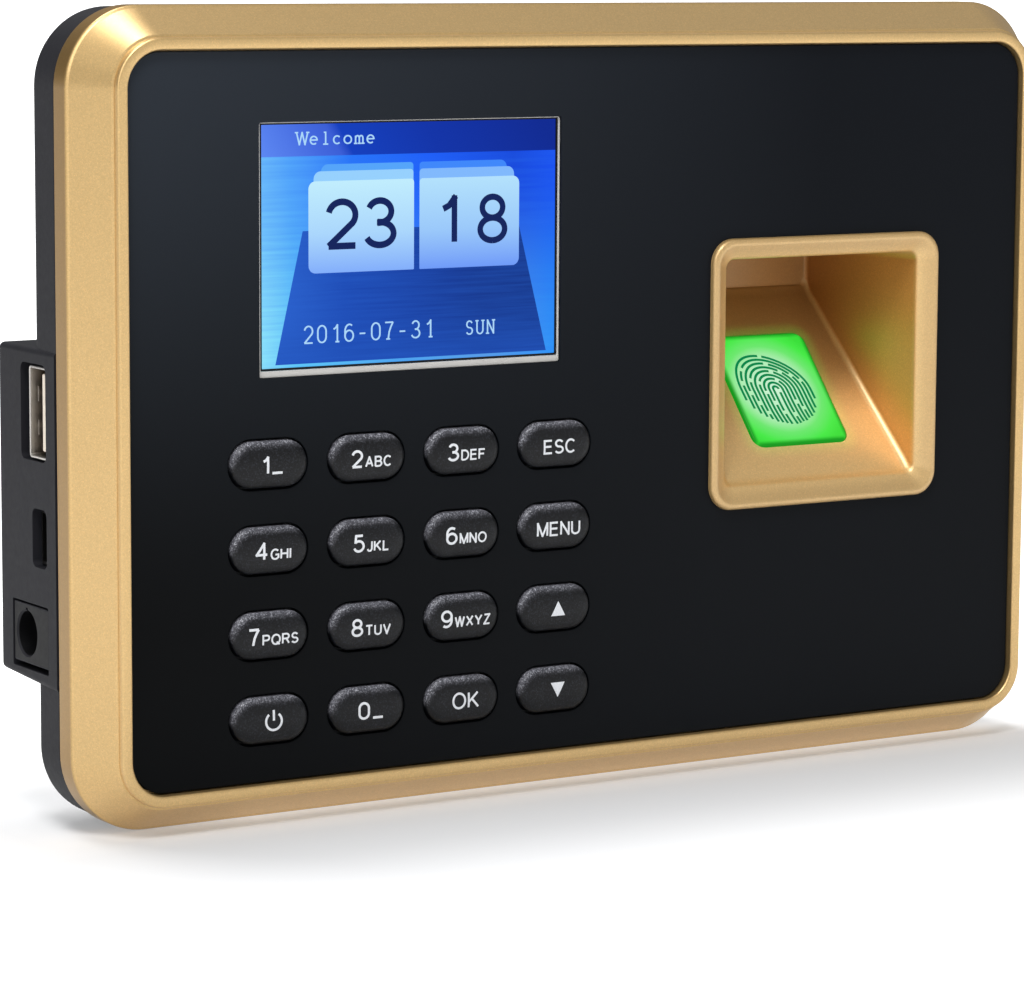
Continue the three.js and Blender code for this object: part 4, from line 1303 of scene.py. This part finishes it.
def rear_cover():
    width, height = WIDTH - 0.6, HEIGHT - 0.6
    radius = PANEL_RADIUS + BORDER - 0.3

    def section(inset):
        return outline(width - 2 * inset, height - 2 * inset, radius - inset)

    edge = ((0.12, 0), (0.03, 0.1), (0, 0.3))
    sections = [(section(inset), COVER_FRONT + depth) for inset, depth in edge]
    rounding = 2.2
    for rise, turn in quarter(7):
        sections.append((section(0.15 + rounding * turn), COVER_BACK - rounding * rise))
    shell = loft("cover", sections, HOUSING, 30)
    boolean(shell, [raised_part("raised", 0, COVER_FRONT + 0.02, COVER_HIGH.y, 2)], "UNION")
    floor, chamfer = COVER_BACK - WALL, 1.2
    inside = [(section(WALL), COVER_FRONT - 1), (section(WALL), floor - chamfer)]
    boolean(shell, [loft("room", inside + [(section(WALL + chamfer), floor)], HOUSING)])
    boolean(shell, [raised_part("raised_room", WALL + 0.2, COVER_FRONT - 1, -WALL, 1)])
    bosses = [
        bar_along_y(f"boss_{index}", disc(4.5, (x, z), 40), COVER_BACK - 4, COVER_BACK - WALL + 0.5)
        for index, (_, x, z) in enumerate(screw_places())
    ]
    boolean(shell, bosses, "UNION")
    cutters = []
    for index, (_, x, z) in enumerate(screw_places()):
        wide, narrow = disc(3.1, (x, z), 40), disc(1.7, (x, z), 24)
        cutters.append(bar_along_y(f"counterbore_{index}", wide, COVER_BACK - 1.7, COVER_BACK + 1))
        cutters.append(bar_along_y(f"clearance_{index}", narrow, COVER_BACK - 5, COVER_BACK))
    side = (COVER_LOW.x - 1, COVER_LOW.x + WALL + 1)
    board_back = JACK_LOW.y - 0.1
    usb_z = (USB_LOW.z + USB_HIGH.z) / 2
    mini_z = (MINI_LOW.z + MINI_HIGH.z) / 2
    ports = (
        ("usb_hole", (board_back + 0.1, usb_z - 6.9), (-8.6, usb_z + 6.9), 1.1),
        ("mini_hole", (board_back + 0.1, mini_z - 4.2), (-12, mini_z + 4.2), 1.1),
        ("jack_hole", (JACK_LOW.y - 0.2, JACK_LOW.z - 0.8), (JACK_HIGH.y + 0.35, JACK_HIGH.z + 0.3), 0.3),
    )
    cutters += [bar_along_x(name, yz_outline(low, high, corner), *side) for name, low, high, corner in ports]
    cutters += [keyhole_cutter(index, x) for index, x in enumerate(KEYHOLES)]
    cutters += grille_cutters()
    recess = outline(LABEL_SIZE[0] + 0.6, LABEL_SIZE[1] + 0.6, 1.2, LABEL_CENTRE, 6)
    cutters.append(bar_along_y("label_recess", recess, -0.5, 1))
    boolean(shell, cutters)
    even_normals(shell)
    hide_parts("rear_cover")
    finished(shell)


def screws():
    for name, x, z in screw_places():
        low, high = span(name)
        head, seat = 2.6, high.y - 1.45
        profile = [(0.9, low.y), (1.2, low.y + 0.6)]
        thread = low.y + 1.0
        while thread < seat - 0.5:       # thread crests
            profile += [(1.0, thread), (1.3, thread + 0.3), (1.0, thread + 0.6)]
            thread += 0.75
        profile += [(1.25, seat), (head - 0.1, seat), (head, seat + 0.15), (head, seat + 0.6)]
        for degrees in (20, 40, 60, 75):     # the head's dome
            angle = radians(degrees)
            profile.append((head * cos(angle), seat + 0.6 + 0.85 * sin(angle)))
        profile = [(radius, -y) for radius, y in reversed(profile)]
        place = Matrix.Translation((x, 0, z)) @ Matrix.Rotation(pi / 2, 4, "X")
        screw = turned(f"fastener_{name}", profile, place, STEEL, 40, 30)
        cross = []
        for index, half in enumerate(((1.6, 0.3), (0.3, 1.6))):
            points = outline(2 * half[0], 2 * half[1], 0.12, (x, z), 3)
            cross.append(bar_along_y(f"cross_{index}", points, high.y - 1.0, high.y + 0.5))
        boolean(screw, cross)
        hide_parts(name)
        finished(screw)


# ---------- ports ----------
FACING_LEFT = Matrix.Rotation(-pi / 2, 4, "Z")


def face_size(low, high):
    """Width and height of a box seen from the left."""
    return high.y - low.y, high.z - low.z


def face_centre(low, high):
    """Middle of a box seen from the left, where a piece that is still facing the front is drawn."""
    return -(low.y + high.y) / 2, (low.z + high.z) / 2


def side_slab(name, low, high, radius, material, bevel):
    """Rounded block that fills a box once it is turned to face left."""
    size, centre = face_size(low, high), face_centre(low, high)
    return slab(name, size, radius, centre, low.x, high.x, material, bevel)


def usb_socket():
    size, centre = face_size(USB_LOW, USB_HIGH), face_centre(USB_LOW, USB_HIGH)
    left, right = USB_LOW.x, USB_HIGH.x
    sheet, back = 0.35, 0.5
    pieces = [
        ring_plate("usb_can", size, sheet, (0.6, 0.3), centre, left, right - back, SHELL_STEEL, 0.08),
        slab("usb_back", size, 0.6, centre, right - back, right, SHADED_STEEL, 0.05),
    ]
    for side in (-1, 1):
        for offset in (-2.4, 2.4):
            place = (centre[0] + side * (size[0] / 2 - sheet - 0.12), centre[1] + offset)
            spring = slab("tab", (0.16, 2.2), 0.05, place, left + 1.2, left + 6, SHELL_STEEL, 0.04)
            pieces.append(spring)
    can = join("usb_socket", pieces)
    moved(can, FACING_LEFT)
    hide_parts("usb_shell")
    finished(can)
    low, high = span("usb_tongue")
    pieces = [side_slab("usb_blade", low, high, 0.25, CREAM, 0.15)]
    for offset in (-3.5, -1.2, 1.2, 3.5):
        place = (-high.y - 0.05, centre[1] + offset)
        contact = slab("contact", (0.12, 1.1), 0.04, place, low.x + 0.6, high.x - 1, SHELL_STEEL, 0.03)
        pieces.append(contact)
    tongue = join("usb_blade_with_contacts", pieces)
    moved(tongue, FACING_LEFT)
    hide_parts("usb_tongue")
    finished(tongue)


def mini_usb_socket():
    """Shell with two corners cut off, towards the front."""
    low, high = MINI_LOW, MINI_HIGH
    half, height = (high.z - low.z) / 2, (high.z + low.z) / 2
    sheet, ledge, rise = 0.35, 1.3, 0.9

    def mini_loop(hole):
        def loop(inset):
            shrink = sheet + inset if hole else inset
            y0, y1, h = low.y + shrink, high.y - shrink, half - shrink
            side = [(-y1, -h), (-y0 - ledge, -h), (-y0, -h + rise)]
            side += [(y, -z) for y, z in reversed(side)]
            return rounded_path([(y, height + z, 0.2) for y, z in side], 3)
        return loop

    mini = plate("mini_usb_socket", [mini_loop(False), mini_loop(True)], low.x, high.x, SHADED_STEEL, 0.05)
    moved(mini, FACING_LEFT)
    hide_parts("mini_usb_shell")
    finished(mini)


def power_jack():
    left = JACK_LOW.x
    bore, bore_y, bore_depth = 3.2, -9.6, 9.5
    bore_z = (JACK_LOW.z + JACK_HIGH.z) / 2
    block = side_slab("jack", JACK_LOW, JACK_HIGH, 0.3, HOUSING, 0.12)
    moved(block, FACING_LEFT)
    block.modifiers.clear()
    profile = [(bore + 0.3, left - 0.1), (bore + 0.25, left), (bore, left + 0.25), (bore, left + bore_depth)]
    hole = turned("jack_bore", profile, along_x(bore_y, bore_z), BLACK_PLASTIC, 48)
    notch = yz_outline((bore_y - 0.35, bore_z + bore - 0.4), (bore_y + 0.35, bore_z + bore + 0.5), 0.1, 3)
    boolean(block, [hole, bar_along_x("jack_notch", notch, left - 1, left + 6)])
    # The bore's faces take the darker black plastic: painted shade inside the bore.
    block.data.materials.append(BLACK_PLASTIC)
    for face in block.data.polygons:
        inside = hypot(face.center.y / MM - bore_y, face.center.z / MM - bore_z) < bore + 0.05
        face.material_index = 1 if inside else 0
    even_normals(block)
    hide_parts("power_jack")
    finished(block)
    low, high = span("power_jack_pin")
    profile = [(0.45, low.x), (0.8, low.x + 0.1), (1.0, low.x + 0.45), (1.0, high.x)]
    pin = turned("jack_pin", profile, along_x(bore_y, bore_z), STEEL, 24)
    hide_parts("power_jack_pin")
    finished(pin)


def label():
    front, back = LABEL_LOW.y, LABEL_HIGH.y
    foil = slab("blank_label", LABEL_SIZE, 1, LABEL_CENTRE, front, back, FOIL, 0.05)
    size = (LABEL_SIZE[0] - 2, LABEL_SIZE[1] - 2)
    front, back = back - 0.02, back + 0.02
    radii = (0.6, 0.4)
    border = ring_plate("label_border", size, 0.3, radii, LABEL_CENTRE, front, back, BLACK_PLASTIC, 0.005)
    whole = join("blank_foil_label", [foil, border])
    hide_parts("rating_label")
    finished(whole)


# ---------- pieces inside that keep their CAD shape ----------
INNER = {
    SILICONE: "key_mat battery_pad",
    BOARD: "key_board sensor_board main_board",
    CREAM: "lcd_backlight board_socket coin_cell_holder",
    FLAT_CABLE: "lcd_ribbon",
    BLACK_PLASTIC: "sensor_housing mini_usb_tongue processor memory_chip speaker",
    STEEL: "sensor_lens capacitor coin_cell",
    BATTERY_WRAP: "battery",
    lit("lamp_green", rgb(90, 240, 100)): "sensor_lamp_left sensor_lamp_right",
}


def inner_parts():
    for material, names in INNER.items():
        for name in names.split():
            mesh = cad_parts[name].data
            mesh.materials.clear()
            mesh.materials.append(material)


# ---------- studio ----------
def aim(obj, place, target):
    obj.location = Vector(place)
    obj.rotation_mode = "QUATERNION"
    obj.rotation_quaternion = (Vector(target) - Vector(place)).to_track_quat("-Z", "Y")


def softbox(name, place, size, power):
    """Square lamp aimed at the terminal; place and size are in metres."""
    data = bpy.data.lights.new(name, "AREA")
    data.size = size
    data.energy = power
    aim(placed(name, data), place, (0, -0.02, 0))


def studio_world():
    """Soft light from all round, weaker from behind and below; the camera sees plain white."""
    world = bpy.data.worlds.new("studio")
    bpy.context.scene.world = world
    world.use_nodes = True
    sky = Shading(world.node_tree)
    strength = sky.remap(sky.along("Generated", (0, 1, -0.6)), 1, -1, 0.14, 0.48)
    ambient = sky.tree.nodes["Background"]
    ambient.inputs["Color"].default_value = (0.96, 0.98, 1, 1)
    sky.link(strength, ambient.inputs["Strength"])
    seen = sky.node("Background")
    seen.inputs["Color"].default_value = (1, 1, 1, 1)
    both = sky.node("MixShader")
    sources = sky.node("LightPath").outputs["Is Camera Ray"], ambient.outputs[0], seen.outputs[0]
    for source, socket in zip(sources, both.inputs):
        sky.link(source, socket)
    sky.link(both.outputs["Shader"], sky.tree.nodes["World Output"].inputs["Surface"])


def studio():
    level = BEZEL_LOW.z
    reach = 12000
    finish = Finish("studio_floor", (0.86, 0.86, 0.86, 1), 0.8, specular=0.1)
    finish.drive("Base Color", finish.mix(finish.noise(60, 2), (0.67, 0.67, 0.68), (0.69, 0.69, 0.69)))
    finish.set("Emission Color", (1, 1, 1, 1))
    # Painted shadow and light on the floor: its glow is weakest near the terminal, a painted contact shadow,
    # and grows ahead of it, behind it and to the sides.
    ahead = finish.axis("Y", FACE - 6, FACE - 60)
    # painted pool of light on the floor just behind the face under the left bottom edge, which the bezel's
    # lower slope reflects
    painted_light_under = finish.math("MULTIPLY", finish.axis("Y", FACE, FACE + 8), finish.axis("X", -90, -55))
    painted_shadow_falloff = finish.math("MAXIMUM", ahead, finish.axis("Y", 5, 60))
    for side in (-1, 1):
        painted_shadow_falloff = finish.math("MAXIMUM", painted_shadow_falloff, finish.axis("X", 100 * side, 190 * side))
    glow = finish.math("ADD", finish.scale(painted_shadow_falloff, 0.06, 0.42), finish.math("MULTIPLY", painted_light_under, 0.55))
    finish.drive("Emission Strength", glow)
    corners = [(x * reach, y * reach, level) for x, y in ((-1, -1), (1, -1), (1, 1), (-1, 1))]
    make("studio_floor", corners, [(0, 1, 2, 3)], finish.material)
    studio_world()
    softbox("left_light", (-0.95, -0.55, 0.6), 0.7, 3.6)
    softbox("key_light", (-0.35, -0.5, 0.95), 0.4, 7.0)
    softbox("fill_light", (0.6, -1.0, 0.3), 0.8, 0.5)
    sun = bpy.data.lights.new("overhead_light", "SUN")
    sun.energy = 1.7
    sun.angle = radians(26)
    aim(placed("overhead_light", sun), (-0.05, 0.4, 1.0), (0, 0, 0))
    bpy.context.scene.view_settings.view_transform = "Standard"


camera()
bezel()
front_panel()
keypad()
display()
finger_well()
sensor()
rear_cover()
screws()
usb_socket()
mini_usb_socket()
power_jack()
label()
inner_parts()
studio()
